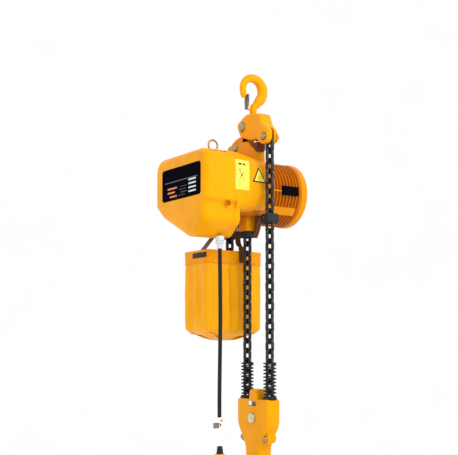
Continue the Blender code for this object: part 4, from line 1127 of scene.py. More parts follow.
def end_plate():
    """Dark rating plate with plain bars and an open shape in place of print."""
    low, high = low_of("end_plate"), high_of("end_plate")
    face = low.x + 0.7
    piece("rating_plate", solid(add_soft_prism, "x", box_corners(low.y, high.y, low.z, high.z, 11), face,
                                COVER_LOW.x + 4, 0.5, 0, 3, 10), PLATE_BLACK, "hoist",
          ["end_plate"], 30.0)
    groups = (("rating_line", PRINT_DIM, [(-28, 184, -352.4, -349.6)]),
              ("rating_bars", PRINT_WHITE, [(-18, 29, -360, -354.5), (-18, 29, -373, -367.5),
                                            (-18, 29, -386.5, -381), (-18, 29, -399.5, -394)]),
              ("rating_small_bars", PRINT_FAINT, [(40, 84, -374, -371.5), (44, 90, -384, -381.5),
                                                  (40, 82, -394, -390.5), (50, 96, -403, -400)]),
              ("rating_shape", PRINT_ORANGE, [(104, 166, -376, -370), (118, 166, -390, -384),
                                              (104, 152, -404, -398)]))
    for name, mat, bars in groups:
        bm = bmesh.new()
        for y0, y1, z0, z1 in bars:
            add_prism(bm, "x", box_outline(y0, y1, z0, z1, 1, 3), face - 0.25, face + 0.3)
        piece(name, bm, mat, "hoist")


def motor_plate():
    low, high = low_of("motor_plate"), high_of("motor_plate")
    piece("motor_name_plate", solid(add_soft_prism, "y", box_corners(low.x, high.x, low.z, high.z, 3), low.y,
                                    low.y + 9, 0.6, 0, 3, 6), PLATE_BLACK, "hoist",
          ["motor_plate"], 30.0)


# ---------------------------------------------------------------- fittings below and above the body

def eyebolt():
    low, high = low_of("eyebolt"), high_of("eyebolt")
    centre = Vector(((low.x + high.x) / 2, (low.y + high.y) / 2, high.z - 21))
    bm = bmesh.new()
    path = [centre + Vector((math.cos(math.tau * k / 72), 0,
                             math.sin(math.tau * k / 72))) * 18 for k in range(72)]
    add_tube(bm, path, 3.1, 20, closed=True)
    add_lathe(bm, "z", (centre.x, centre.y), [(0, low.z - 2), (11, low.z - 2), (11, low.z + 2),
                                              (9.5, low.z + 3.4), (6, low.z + 4.5), (4.2, low.z + 8),
                                              (0, low.z + 8)], 40)
    piece("eyebolt_forging", bm, GILT_STEEL, "hoist", ["eyebolt"], 50.0)


def chain_guide():
    """Guide tube with its rubber collar and the curved guard beside it."""
    x, y = LIVE.x, LIVE.y
    top = UNDERSIDE

    def sleeve(half_x, half_y, low, high, edge):
        outer = solid(add_soft_prism, "z", box_corners(x - half_x, x + half_x, y - half_y, y + half_y, 7),
                      low, high, edge, edge)
        return cut(outer, solid(add_prism, "z", box_outline(x - 19.6, x + 19.6, y - 20, y + 20, 4), low - 5,
                                high + 5))
    tube = sleeve(21.5, 26, top - 53, top + 4, 1)
    piece("guide_tube", tube, PAINT, "hoist", ["chain_guide"])
    piece("guide_collar", sleeve(24, 28.5, top - 73.5, top - 53, 2.5), RUBBER, "hoist")
    outer = [Vector((y - 58, top + 6)), Vector((y - 55, top - 8)), Vector((y - 48, top - 30)),
             Vector((y - 38, top - 54)), Vector((y - 24, top - 76))]
    curve = smooth_path([Vector((p.x, p.y, 0)) for p in outer], 8)
    outline = [Vector((p.x, p.y)) for p in curve]
    inner = [p + Vector((5, 1.5)) for p in outline[::-1]]
    piece("guide_guard", solid(add_loft, "x", [(4, outline + inner), (26, outline + inner)]), GUARD_BROWN,
          "hoist", (), 40.0, 1, 2)
    ear_line = [Vector((y - 54, top + 4)), Vector((y - 47, top - 26)), Vector((y - 34, top - 54)),
                Vector((y - 21, top - 72)), Vector((y - 18, top + 4))]
    piece("guide_guard_web", solid(add_loft, "x", [(22, ear_line), (25.5, ear_line)]), GUARD_BROWN, "hoist",
          (), 40.0, 0.8, 2)


def limit_arm():
    low, high = low_of("limit_arm"), high_of("limit_arm")
    y0 = low.y
    width = high.x - low.x
    bm = bmesh.new()
    corners = box_corners(low.x, high.x, y0, y0 + width, 8)
    add_soft_prism(bm, "z", corners, low.z, high.z, 9, 9, 6, 8)
    well = solid(add_prism, "z", box_outline(low.x + 5.5, high.x - 5.5, y0 + 5.5, y0 + width - 5.5, 5),
                 low.z - 5, high.z + 5)
    piece("limit_arm_moulding", cut(bm, well), RUBBER, "limit_arm", ["limit_arm"], 35.0)
    piece("limit_arm_lever", solid(add_soft_prism, "z", box_corners(-8, 8, y0 + width - 4, high.y, 3),
                                   low.z + 22, low.z + 32, 1.5, 1.5), LATCH_STEEL, "limit_arm")
    piece("limit_arm_bolt", solid(add_hex, "x", (y0 + width / 2, low.z + 17), 6, low.x - 3.5, low.x + 1),
          LATCH_STEEL, "limit_arm")


def cable_gland():
    """Clear clamp: a collar, a nut with flats, and a tapered sleeve that the cable leaves."""
    x, y = GLAND.x, GLAND.y
    top, bottom = high_of("cable_gland").z, low_of("cable_gland").z
    profile = [(7.3, bottom + 0.2), (9, bottom), (9.8, bottom + 2), (11.2, top - 17), (14, top - 15),
               (14.5, top - 12), (14.5, top - 4), (13, top), (7.3, top)]
    piece("gland_sleeve", solid(add_lathe, "z", (x, y), profile, 48), CLEAR, "hoist",
          ["cable_gland"])
    piece("gland_nut", solid(add_hex, "z", (x, y), 15.5, top - 25, top - 16, 0.3), CLEAR, "hoist")
    piece("gland_core", solid(add_rod, "z", (x, y), 6.9, bottom + 1, top, 24), CABLE_SKIN, "hoist")


def bag_straps():
    """Woven straps that hang the bag by its rim."""
    low, high = low_of("bag_strap_left"), high_of("bag_strap_left")
    bm = bmesh.new()
    rows = []
    for k in range(13):
        t = k / 12
        x = low.x + 2 + (high.x - low.x - 4) * t
        rows.append((low.z + (high.z - low.z) * t, [Vector((x + u, y)) for u,
                                                    y in ((-1.6, low.y), (1.6, low.y), (1.6, high.y),
                                                          (-1.6, high.y))]))
    add_loft(bm, "z", rows)
    piece("bag_strap_left_webbing", bm, STRAP_BROWN, "hoist", ["bag_strap_left"], 40.0, 0.6, 2)
    bm = bmesh.new()
    front = BAG_LOW.y
    path = smooth_path([Vector(p) for p in ((-16, 84, -462), (-12, 80, -510), (-7, 74, -562), (-4, 0, -580),
                                            (-3, 0, -594), (-2, 0, -621))], 5)
    rows = []
    for spot in path:
        y = min(spot.y, 84) if spot.z > -570 else front - 1.8
        rows.append((spot.z, [Vector((spot.x + u, y + v)) for u,
                              v in ((-11, -1.4), (11, -1.4), (11, 1.4), (-11, 1.4))]))
    add_loft(bm, "z", rows)
    piece("bag_strap_right_webbing", bm, STRAP_BROWN, "hoist", ["bag_strap_right"], 40.0, 0.6,
          2)


# ---------------------------------------------------------------- load chain

LINK_TURNS = (math.radians(11.0), math.radians(101.0))


def add_link(bm, centre, along, width, wire=WIRE, sides=14):
    """One welded chain link, standing along one direction and broad across another."""
    along, width = along.normalized(), width.normalized()
    bend = (LINK_WIDTH - WIRE) / 2
    straight = (PITCH + WIRE) / 2 - bend
    path = []
    for end, start in ((1, 0.0), (-1, math.pi)):
        for k in range(11):
            a = start + math.pi * k / 10
            path.append(centre + along * (end * straight + bend * math.sin(a)) + width * bend * math.cos(a))
    add_tube(bm, path, wire / 2, sides, closed=True)


def add_run(bm, x, y, low, high, phase, wire=WIRE):
    """Straight run of links between two heights. phase is the height of one link's centre."""
    first = math.ceil((low - phase) / PITCH)
    last = math.floor((high - phase) / PITCH)
    for k in range(first, last + 1):
        turn = LINK_TURNS[k % 2]
        add_link(bm, Vector((x, y, phase + k * PITCH)), Vector((0, 0, 1)),
                 Vector((math.cos(turn), math.sin(turn), 0)), wire)


def add_wrap(bm, centre, radius, count, start, end, wire=WIRE):
    """Links laid round a wheel in the YZ plane, flat and on edge by turns."""
    for k in range(count):
        a = start + (end - start) * k / (count - 1)
        out = Vector((0, math.cos(a), math.sin(a)))
        along = Vector((0, -math.sin(a), math.cos(a)))
        width = Vector((1, 0, 0)) if k % 2 else out
        add_link(bm, centre + out * radius, along, width, wire)


def chains():
    """Load chain: a run for each fall above and below the block's limit, and the wraps."""
    live_phase, dead_phase, slack_phase = SHEAVE.z + 10, SHEAVE.z + 7, -690
    top_of_wheel = AXIS.z
    runs = (("live_chain_upper", "hoist", "live_fall_upper", LIVE.y, SPLIT_Z, top_of_wheel - 20, live_phase,
             WIRE), ("dead_chain_upper", "hoist", "dead_fall_upper", DEAD.y, SPLIT_Z, -236, dead_phase, WIRE),
            ("slack_chain_run", "hoist", "slack_chain", SLACK.y, -800, top_of_wheel - 20, slack_phase, WIRE),
            ("live_chain_lower", "block", "live_fall_lower", LIVE.y, SHEAVE.z + 20, SPLIT_Z, live_phase,
             WIRE - 0.2), ("dead_chain_lower", "block", "dead_fall_lower", DEAD.y, SHEAVE.z + 20, SPLIT_Z,
                           dead_phase, WIRE - 0.2))
    for name, body, node, y, low, high, phase, wire in runs:
        piece(name, solid(add_run, 0.0, y, low, high, phase, wire), CHAIN, body, [node], 60.0)
    piece("dead_chain_end", solid(add_link, Vector((0, DEAD.y, (DEAD_PIN.z - 9 - WIRE / 2 + 14 - PITCH / 2))),
                                  Vector((0, 0, 1)), Vector((0, 1, 0))), CHAIN, "hoist", (),
          60.0)
    piece("chain_on_load_wheel", solid(add_wrap, Vector((0, AXIS.y, AXIS.z)), AXIS.y - LIVE.y, 6,
                                       math.radians(0), math.radians(180)), CHAIN, "hoist", (),
          60.0)
    piece("chain_on_sheave", solid(add_wrap, Vector((0, SHEAVE.y, SHEAVE.z)), (LIVE.y - DEAD.y) / 2, 7,
                                   math.radians(0), math.radians(-180)), CHAIN, "block", (),
          60.0)
    pile = bmesh.new()
    for k in range(44):
        layer, place = divmod(k, 15)
        line, step = divmod(place, 5)
        x = -30 + (step - 2) * 31 * (1 if (line + layer) % 2 == 0 else -1)
        y = BAG_LOW.y + (42 + 33 * line)
        z = BAG_LOW.z + (48 + 27 * layer + 4 * ((k * 7) % 3))
        lean = math.radians(18 * math.sin(k * 1.7))
        upright = Vector((0, math.cos(lean), math.sin(lean)))
        width = upright if k % 2 else Vector((0, -upright.z, upright.y))
        add_link(pile, Vector((x, y, z)), Vector((1, 0.12 * math.sin(k * 2.3), 0)), width)
    piece("slack_chain_pile", pile, CHAIN, "hoist", (), 60.0)
    profile = [(20.2, CASING_LOW.z + 60), (27, UNDERSIDE), (27, -470), (25, -476), (24, -526), (22, -530),
               (20.2, -526)]
    piece("slack_chain_spout", solid(add_lathe, "z", (SLACK.x, SLACK.y), profile, 48), RUBBER, "hoist")


def springs():
    """Cushion springs: round wire coils with closed ends on rubber seats."""
    for node, y in (("spring_live", LIVE.y), ("spring_dead", DEAD.y)):
        low, high = low_of(node).z, high_of(node).z
        wire, radius, turns = 2.2, 20.6, 9.5
        bm = bmesh.new()
        count = 380
        path = []
        for k in range(count + 1):
            t = k / count
            angle = math.tau * (turns + 1.6) * t
            climb = max(0.0, min(1.0, (t - 0.07) / 0.86))
            flat_turns = min(1.0, t / 0.07) + max(0.0, (t - 0.93) / 0.07)
            z = low + 7 + (high - low - 7 - 2 * wire) * climb + wire * 0.9 * flat_turns
            path.append(Vector((radius * math.cos(angle), y + radius * math.sin(angle), z)))
        add_tube(bm, path, wire, 10)
        piece(node + "_coil", bm, BLACK_STEEL, "block", [node], 60.0)
        piece(node + "_seat", solid(add_ring, "z", (0, y), 19.3, 24.6, low - 0.2, low + 7, 48, 1.2), RUBBER,
              "block")
        piece(node + "_cap", solid(add_ring, "z", (0, y), 19.2, 22.4, high - 5, high - 0.2, 48, 0.8),
              BLACK_STEEL, "block")


side_labels()
end_plate()
motor_plate()
eyebolt()
chain_guide()
limit_arm()
cable_gland()
bag_straps()
chains()
springs()


# ---------------------------------------------------------------- bottom block

CLAMP_HALF = 66.0
CLAMP_Z = -1231.0
BLOCK_CORNERS = [(89, -1097, 9), (89, -1186, 66), (52, -1240, 22), (41, -1264, 20), (38, -1306, 5),
                 (-38, -1306, 5), (-41, -1264, 20), (-52, -1240, 22), (-89, -1186, 66), (-89, -1097, 9)]


def bottom_block():
    """Two cast halves round the sheave, with bolt ears, a hump between the falls and a window."""
    y0 = SHEAVE.y
    for node, side in (("block_front", -1), ("block_rear", 1)):
        low, high = (BLOCK_LOW.x, -SEAM) if side < 0 else (SEAM, BLOCK_HIGH.x)
        corners = [(y0 + u, v, r) for u, v, r in BLOCK_CORNERS]
        edges = (8, 0) if side < 0 else (0, 8)
        outer = solid(add_soft_prism, "x", corners, low, high, *edges, 7, 10)
        room = 21.5
        cutters = [solid(add_rod, "x", (y0, SHEAVE.z), 85.5, -room, room, 96)]
        for y in (LIVE.y, DEAD.y):
            cutters.append(solid(add_prism, "z", box_outline(-room, room, y - 20, y + 20, 8), SHEAVE.z + 5,
                                 BLOCK_HIGH.z + 10))
        cutters.append(solid(add_prism, "x", box_outline(y0 - 24, y0 + 24, -1121, -1102, 2.5), -60, 60))
        cutters.append(solid(add_rod, "z", (0, y0), 14.4, -1320, -1262, 40))
        piece(node + "_casting", cut(outer, *cutters), PAINT_ROUGH, "block", [node], 30.0,
              0.7, 2)
        hump_corners = [(y0 - 27, -1108, 2), (y0 - 21, -1063.4, 9), (y0 + 21, -1063.4, 9),
                        (y0 + 27, -1108, 2)]
        at = sorted((side * SEAM, side * 25))
        piece(node + "_hump", solid(add_soft_prism, "x", hump_corners, *at, *((8, 0) if side < 0 else (0, 8)),
                                    5, 8), PAINT_ROUGH, "block", (), 35.0)
        ears = bmesh.new()
        for way in (-1, 1):
            spot = (y0 + way * CLAMP_HALF, CLAMP_Z)
            ends = sorted((side * SEAM, side * 16))
            outline = rounded([(spot[0] + way * 13, CLAMP_Z - 13, 12.9),
                               (spot[0] + way * 13, CLAMP_Z + 16, 12), (y0 + way * 62, CLAMP_Z + 40, 3),
                               (y0 + way * 30, CLAMP_Z - 22, 3)], 8)
            add_prism(ears, "x", outline, *ends, 1.5)
            add_lathe(ears, "x", spot, [(0, side * 4), (13, side * 4), (13, side * 17), (12, side * 18.2),
                                        (9.5, side * 18.2), (9, side * 17), (0, side * 17)], 36)
        piece(node + "_ears", ears, PAINT_ROUGH, "block", (), 35.0)
    seats = bmesh.new()
    for way in (-1, 1):
        add_ring(seats, "x", (y0 + way * CLAMP_HALF, CLAMP_Z), 9.2, 12.2, -19.4, -17)
    # The seats take the darker orange as painted shade round the bolts.
    piece("clamp_bolt_seats", seats, RECESS_SHADE_ORANGE, "block")
    piece("block_pin_boss", solid(add_lathe, "x", (y0, SHEAVE.z),
                                  [(21, BLOCK_LOW.x + 4), (33, BLOCK_LOW.x + 4), (31, BLOCK_LOW.x - 0.4),
                                   (29, BLOCK_LOW.x - 1.2), (24, BLOCK_LOW.x - 1.2), (22, BLOCK_LOW.x + 0.2)],
                                  72), PAINT_ROUGH, "block")
    piece("block_window_plate", solid(add_prism, "x", box_outline(y0 + 3, y0 + 23, -1120, -1103, 2),
                                      BLOCK_LOW.x + 1.5, BLOCK_LOW.x + 9, 1), WHITE_STEEL, "block",
          (), 35.0)
    # Black block inside the window: painted shade in the block's interior.
    piece("block_window_shade", solid(add_prism, "x", box_outline(y0 - 26, y0 + 26, -1123, -1100, 2), -14,
                                      14), RUBBER, "block")


def block_pins():
    """Sheave pin with its recessed round head, and the two clamping bolts with their nuts."""
    face = BLOCK_LOW.x
    bm = bmesh.new()
    radius = 18.5
    profile = [(0, face - 3.4), (6, face - 3.6), (9, face - 4.6), (12.5, face - 6.3), (15, face - 6.6),
               (17.2, face - 5.8), (radius, face - 3.8), (radius, face + 1), (12, face + 1), (12, -face + 4),
               (0, -face + 4)]
    add_lathe(bm, "x", (SHEAVE.y, SHEAVE.z), profile, 64)
    add_hex(bm, "x", (SHEAVE.y, SHEAVE.z), 19, -face - 0.5, -face + 6)
    piece("sheave_pin_steel", bm, CHROME, "block", ["sheave_pin"])
    for node, way in (("clamp_bolt_live", 1), ("clamp_bolt_dead", -1)):
        spot = (SHEAVE.y + way * CLAMP_HALF, CLAMP_Z)
        bm = bmesh.new()
        add_lathe(bm, "x", spot, [(0, -25.6), (2.6, -25.2), (3.4, -23.6), (5.2, -24.6), (8.2, -24.0),
                                  (9.3, -22.4), (9.5, -16.2), (5, -16.2), (5, 23), (0, 23.6)], 36)
        add_hex(bm, "x", spot, 9.6, 16.2, 22.6)
        piece(node + "_steel", bm, PIN_STEEL, "block", [node])


# ---------------------------------------------------------------- chain bag

BAG_CORNER = 13.0
BAG_RIM_HEIGHT = 48.0


def fold(place, width, x, z, top, bottom, lean=0.0):
    """Soft vertical fold: how strong it is at a place, from its own line along the wall."""
    t = (top - z) / (top - bottom)
    if not 0.0 < t < 1.0:
        return 0.0
    line = place + lean * (t - 0.5)
    return math.exp(-((x - line) / width) ** 2) * math.sin(math.pi * t) ** 0.7


def bag_wall(x, y, z, outward):
    """How far a bag wall stands out from its plain form."""
    centre = (BAG_LOW + BAG_HIGH) / 2
    t = (BAG_HIGH.z - z) / (BAG_HIGH.z - BAG_LOW.z)
    out = 2.2 * math.sin(math.pi * min(1.0, max(0.0, (t - 0.12) / 0.9)))
    xs, ys = x - centre.x, y - centre.y
    top, bottom = -622.0, -892.0
    if abs(outward.y) > 0.5:
        near = 1.0 if outward.y < 0 else 0.7
        for place, width, height, lean in ((-9, 12, -11.0, 8), (10, 10, 4.0, 12), (-28, 10, 4.0, 4),
                                           (-46, 8, -4.0, 0), (-62, 10, 4.5, -6), (-82, 8, -6.0, -8),
                                           (-103, 9, 3.0, -4), (38, 11, -7.0, 10), (60, 10, 3.0, 6)):
            out += near * height * fold(place, width, xs, z, top, bottom, lean)
    else:
        for place, width, height, lean in ((94, 11, 3.0, 16), (118, 10, -6.0, -14), (146, 12, 3.0, 6),
                                           (172, 11, -6.5, 10), (200, 11, 3.0, -6)):
            out += height * fold(place, width, y, z, top, bottom, lean)
    crumple = math.sin(xs * 0.071 + z * 0.043) * math.sin(ys * 0.083 - z * 0.031 + 1.3)
    out += 0.9 * crumple
    low = max(0.0, (t - 0.66) / 0.34)
    out += low * 2.4 * math.sin(xs * 0.11 + ys * 0.09) * math.sin(z * 0.09)
    return out


def chain_bag():
    """Coated fabric bag: walls that fold and swell, a rounded bottom that sags, and a webbing rim."""
    centre = (BAG_LOW + BAG_HIGH) / 2
    inset = 2.6
    half_x, half_y = (BAG_HIGH.x - BAG_LOW.x) / 2 - inset, (BAG_HIGH.y - BAG_LOW.y) / 2 - inset
    top, bottom = BAG_HIGH.z - 1, BAG_LOW.z + 3
    turn = 46

    def outline(shift, corner):
        corners = [(centre.x - half_x + shift, centre.y - half_y + shift, corner),
                   (centre.x + half_x - shift, centre.y - half_y + shift, corner),
                   (centre.x + half_x - shift, centre.y + half_y - shift, corner),
                   (centre.x - half_x + shift, centre.y + half_y - shift, corner)]
        points = rounded(corners, 8)
        dense = []
        for i, p in enumerate(points):
            q = points[(i + 1) % len(points)]
            count = 1 if i % 9 != 8 else (42 if i // 9 % 2 == 0 else 24)
            dense += [p.lerp(q, k / count) for k in range(count)]
        return dense

    base = outline(0.0, BAG_CORNER)
    normals = []
    for i in range(len(base)):
        along = (base[(i + 1) % len(base)] - base[i - 1]).normalized()
        normals.append(Vector((along.y, -along.x)))
    bm = bmesh.new()
    rings = []
    levels = []
    wall_end = bottom + turn
    count = 60
    for k in range(count + 1):
        levels.append((top + (wall_end - top) * k / count, 0.0))
    for k in range(1, 13):
        a = math.pi / 2 * k / 12
        levels.append((wall_end - (turn - 8) * math.sin(a), turn * (1 - math.cos(a)) * 0.86))
    centre_line = Vector((centre.x, centre.y))
    for z, shift in levels:
        ring = []
        sag = max(0.0, (wall_end - z) / turn)
        for p, n in zip(base, normals):
            spot = Vector((p.x, p.y)) - n * shift
            stand = bag_wall(p.x, p.y, z, n)
            squeeze = 1.0 - min(1.0, sag)
            spot += n * stand * (0.35 + 0.65 * squeeze)
            corner_lift = (abs(p.x - centre.x) / half_x) ** 3 * 13 + (abs(p.y - centre.y) / half_y) ** 3 * 9
            ring.append(bm.verts.new((spot.x, spot.y, z + corner_lift * sag)))
        rings.append(ring)
    last = [vert.co.copy() for vert in rings[-1]]
    for share in (0.82, 0.62, 0.42, 0.22):
        ring = []
        for co in last:
            flat = Vector((co.x, co.y)).lerp(centre_line, 1 - share)
            z = co.z + (bottom - co.z) * (1 - share ** 2)
            ring.append(bm.verts.new((flat.x, flat.y, z + 0.8 * math.sin(flat.x * 0.09)
                                      * math.sin(flat.y * 0.08))))
        rings.append(ring)
    bridge(bm, rings, capped=False)
    bm.faces.new(rings[-1])
    cloth = piece("bag_cloth", bm, BAG_FABRIC, "hoist", ["chain_bag"], 80.0)
    thick = cloth.modifiers.new("thickness", "SOLIDIFY")
    thick.thickness = 1.4 * MM
    thick.offset = -1.0
    extras = [bag_rim(outline), bag_stitches(outline), bag_tag(), bag_rivets()]
    return cloth, extras


def bag_rim(outline):
    """Webbing band sewn round the bag's mouth, with a rolled top edge."""
    bm = bmesh.new()
    top, low = BAG_HIGH.z, BAG_HIGH.z - BAG_RIM_HEIGHT
    shapes = [(low, 0.6), (low + 0.6, 1.9), (low + 3, 2.6), (low + 6, 2.3), (low + 24, 2.3), (top - 9, 2.3),
              (top - 7, 3.0), (top - 2.5, 3.2), (top - 0.6, 2.0), (top, 0.4), (top - 0.6, -1.2),
              (top - 7, -1.6), (low + 1, -1.6)]
    rings = []
    for z, out in shapes:
        ring = []
        for k, p in enumerate(outline(-(out - 0.4), BAG_CORNER)):
            wave = 0.5 * math.sin(k * 0.21) + 0.3 * math.sin(k * 0.07 + 1)
            ring.append(bm.verts.new((p.x, p.y + wave * 0.4, z + (wave if z < top - 10 else 0))))
        rings.append(ring)
    bridge(bm, rings + rings[:1], capped=False)
    return piece("bag_rim", bm, BAG_RIM, "hoist", (), 60.0)


def bag_stitches(outline):
    """Two rows of stitches on the rim."""
    bm = bmesh.new()
    for z in (BAG_HIGH.z - BAG_RIM_HEIGHT + 5, BAG_HIGH.z - 10.5):
        line = outline(-2.1, BAG_CORNER)
        for i, p in enumerate(line):
            q = line[(i + 1) % len(line)]
            start, end = p.lerp(q, 0.2), p.lerp(q, 0.8)
            add_tube(bm, [Vector((start.x, start.y, z)), Vector((end.x, end.y, z))], 0.4, 5)
    return piece("bag_stitches", bm, STITCH, "hoist", (), 60.0)


def bag_tag():
    """Dark woven tag on the rim's end face."""
    x = BAG_LOW.x - 0.2
    return piece("bag_tag", solid(add_soft_prism, "x", box_corners(74, 160, -607, -589, 2), x - 1.2, x + 1.5,
                                  0.5, 0, 2, 4), STRAP_DARK, "hoist", (), 35.0)


def bag_rivets():
    """Rivets that hold the straps' plates on the rim."""
    bm = bmesh.new()
    y = BAG_LOW.y - 0.4
    for x, z in ((12, -622), (58, -622), (-68, -621), (-112, -621)):
        profile = [(0, y - 2.6), (2.4, y - 2.4), (4.2, y - 1.4), (4.8, y), (0, y)]
        add_lathe(bm, "y", (x, z), profile, 20)
    x = BAG_LOW.x - 0.4
    for y_spot, z in ((95, -622), (197, -622)):
        profile = [(0, x - 2.6), (2.4, x - 2.4), (4.2, x - 1.4), (4.8, x), (0, x)]
        add_lathe(bm, "x", (y_spot, z), profile, 20)
    return piece("bag_rivets", bm, PAINT_RIVET, "hoist", (), 50.0)


# ---------------------------------------------------------------- pendant

def pendant():
    """Push-button station: two-part housing, boot, guards and marked button caps."""
    low, high = low_of("pendant_housing"), high_of("pendant_housing")
    x, y = GLAND.x, GLAND.y
    shoulder = high.z - 40

    def section(half_x, half_y, radius, z):
        return z, box_outline(x - half_x, x + half_x, y - half_y, y + half_y, radius, 8)
    shapes = [section(20, 17, 9, low.z), section(24.5, 22, 10, low.z + 2), section(27.4, 25.4, 11, low.z + 7),
              section(28, 26, 11, low.z + 14), section(28, 26, 11, shoulder),
              section(26, 24, 11, shoulder + 4), section(18, 17, 10, shoulder + 11),
              section(13, 13, 10, shoulder + 15)]
    bm = bmesh.new()
    add_loft(bm, "z", shapes)
    wells = [solid(add_rod, "y", (x, middle(node).z), radius, y - 40, y - 12, 40) for node,
             radius in (("stop_button", 14.5), ("button_up", 12.5), ("button_down", 12.5))]
    piece("pendant_shell", cut(bm, *wells), PENDANT_YELLOW, "hoist", ["pendant_housing"],
          32.0)
    boot = bmesh.new()
    profile = [(7.3, high.z), (9.4, high.z - 0.6)]
    for k in range(6):
        z = high.z - (3 + 4 * k)
        profile += [(9.8 + 0.5 * k, z), (8.8 + 0.5 * k, z - 2)]
    profile += [(13.4, high.z - 27), (13.4, high.z - 30), (7.3, high.z - 30)]
    add_lathe(boot, "z", (x, y), profile, 48)
    piece("pendant_boot", boot, RUBBER, "hoist")
    outline = box_outline(low.z + 4, shoulder + 2, x - 28.3, x + 28.3, 10, 6)
    ring = [Vector((p.y, y + 2, p.x)) for p in outline]
    piece("pendant_seam", solid(add_tube, ring, 0.7, 8, closed=True), RUBBER, "hoist")
    guards = bmesh.new()
    for node, radius in (("stop_button", 16.5), ("button_up", 14.3), ("button_down", 14.3)):
        z = middle(node).z
        add_lathe(guards, "y", (x, z), [(radius - 2.4, y - 22), (radius - 2.4, y - 27.5),
                                        (radius - 1.6, y - 28.4), (radius - 0.6, y - 28.4),
                                        (radius + 0.4, y - 27), (radius + 0.8, y - 22)], 48)
    piece("pendant_guards", guards, RUBBER, "hoist")
    screws = bmesh.new()
    for dx in (-21, 21):
        for z in (low.z + 12, shoulder - 4):
            add_rod(screws, "y", (x + dx, z), 2.6, y - 27, y - 24, 20, 0.6)
    piece("pendant_screws", screws, ZINC, "hoist")
    for node, mat, finish in (("stop_button", RED_PLASTIC, "red_plastic"),
                              ("button_up", WHITE_PLASTIC, "white_plastic"),
                              ("button_down", BLACK_PLASTIC, "black_plastic")):
        a, b = low_of(node), high_of(node)
        radius = (b.x - a.x) / 2
        bm = bmesh.new()
        profile = [(0, a.y), (radius * 0.6, a.y + 0.2), (radius * 0.86, a.y + 1.0), (radius, a.y + 2.6),
                   (radius, b.y), (0, b.y)]
        if node == "stop_button":
            profile = [(0, a.y), (radius * 0.5, a.y + 0.3), (radius * 0.9, a.y + 1.4), (radius, a.y + 3.0),
                       (radius, a.y + 5.0), (radius * 0.8, a.y + 6.4), (radius * 0.8, b.y), (0, b.y)]
        add_lathe(bm, "y", (x, middle(node).z), profile, 40)
        piece(node + "_cap", bm, mat, node, [node])
        if node != "stop_button":
            way = 1 if node == "button_up" else -1
            z = middle(node).z
            outline = [Vector((x - 5, z - way * 3.5)), Vector((x + 5, z - way * 3.5)),
                       Vector((x, z + way * 5))]
            piece(node + "_mark", solid(add_loft, "y", [(a.y - 0.25, outline), (a.y + 1, outline)]),
                  BLACK_PLASTIC if way > 0 else WHITE_PLASTIC, node)


bottom_block()
block_pins()
bag, bag_extras = chain_bag()

pendant()


# ---------------------------------------------------------------- parts kept from the frame

KEPT = {"top_hook_nut": ZINC, "bottom_hook_nut": ZINC, "thrust_bearing": ZINC, "shaft_bearing": ZINC,
        "rotor_shaft": ZINC, "countershaft": IRON, "output_gear": IRON, "load_wheel": IRON, "sheave": IRON,
        "stator": COPPER, "rotor": ALUMINIUM, "brake_coil": COPPER, "brake_disc": IRON, "fan": BLACK_PLASTIC,
        "transformer": IRON, "contactor_up": CREAM_PLASTIC, "contactor_down": CREAM_PLASTIC}


def dress_kept_parts():
    for name, mat in KEPT.items():
        obj = frame["nodes"][name]
        obj.data.materials.clear()
        obj.data.materials.append(mat)
        modifier = obj.modifiers.new("edges", "BEVEL")
        modifier.width = 0.5 * MM
        modifier.segments = 2
        modifier.limit_method = "ANGLE"


dress_kept_parts()


# ---------------------------------------------------------------- stage and light

def backdrop_material():
    n = Nodes("backdrop")
    soft = n.noise(1.4, 2.0)
    tint = n.ramp(soft, [(0.3, (0.945, 0.945, 0.945)), (0.7, (0.96, 0.96, 0.96))])
    grain = n.bump(n.noise(90.0), 0.02, 0.001)
    return n.done(tint, n.span(soft, 0.75, 0.85), grain)


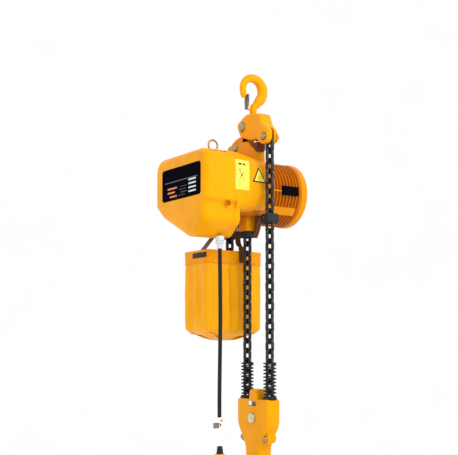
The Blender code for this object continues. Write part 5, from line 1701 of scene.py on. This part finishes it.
def set_stage():
    """Pale floor that curves up far behind."""
    floor_z = CAD_BOX[0][2] - 0.9
    bm = bmesh.new()
    width, back, front, rise = 30.0, 9.0, -14.0, 3.0
    profile = [Vector((front, floor_z)), Vector((back, floor_z))]
    for k in range(1, 17):
        a = math.pi / 2 * k / 16
        profile.append(Vector((back + rise * math.sin(a), floor_z + rise * (1 - math.cos(a)))))
    profile.append(Vector((back + rise, floor_z + 16.0)))
    view = Matrix.Rotation(-VIEW_TURN, 3, "Z")
    columns = []
    for p in profile:
        columns.append([bm.verts.new(view @ Vector((side * width / 2, p.x, p.y))) for side in (-1, 1)])
    for (a, b), (c, d) in zip(columns, columns[1:]):
        bm.faces.new((a, b, d, c))
    mesh = bpy.data.meshes.new("backdrop")
    bm.to_mesh(mesh)
    bm.free()
    mesh.shade_smooth()
    mesh.materials.append(backdrop_material())
    sweep = bpy.data.objects.new("backdrop", mesh)
    bpy.context.scene.collection.objects.link(sweep)


def area_light(name, spot, target, size, power, tint=(1.0, 1.0, 1.0), tall=None):
    data = bpy.data.lights.new(name, "AREA")
    data.energy = power
    data.color = tint
    data.size = size
    if tall:
        data.shape = "RECTANGLE"
        data.size_y = tall
    light = bpy.data.objects.new(name, data)
    light.location = spot
    light.rotation_euler = (Vector(target) - Vector(spot)).to_track_quat("-Z", "Y").to_euler()
    bpy.context.scene.collection.objects.link(light)
    return light


def set_lights():
    """Large soft key from the front right, a weaker fill, a rim and a bright surround."""
    middle_of_hoist = (0.0, 0.05, -0.55)
    right = Vector((math.cos(VIEW_TURN), -math.sin(VIEW_TURN), 0))
    ahead = Vector((math.sin(VIEW_TURN), math.cos(VIEW_TURN), 0))

    def place(side, back, up):
        return Vector(middle_of_hoist) + right * side + ahead * back + Vector((0, 0, up))
    area_light("key", place(1.7, -2.0, 1.5), middle_of_hoist, 1.4, 44.0, (1.0, 0.985, 0.96))
    area_light("fill", place(-2.4, -1.8, 0.5), middle_of_hoist, 2.2, 4.0, (0.97, 0.985, 1.0))
    area_light("rim", place(1.6, 2.2, 1.4), middle_of_hoist, 1.2, 8.0)
    world = bpy.data.worlds.new("surround")
    bpy.context.scene.world = world
    world.use_nodes = True
    tree = world.node_tree
    background = tree.nodes["Background"]
    background.inputs["Color"].default_value = (1.0, 1.0, 1.0, 1.0)
    background.inputs["Strength"].default_value = 1.05


set_stage()
set_lights()

scene = bpy.context.scene
scene.render.engine = "CYCLES"
scene.render.resolution_x, scene.render.resolution_y = 1374, 1365
scene.view_settings.view_transform = "Standard"
scene.view_settings.look = "None"
scene.view_settings.exposure = 0.0
scene.cycles.max_bounces = 8
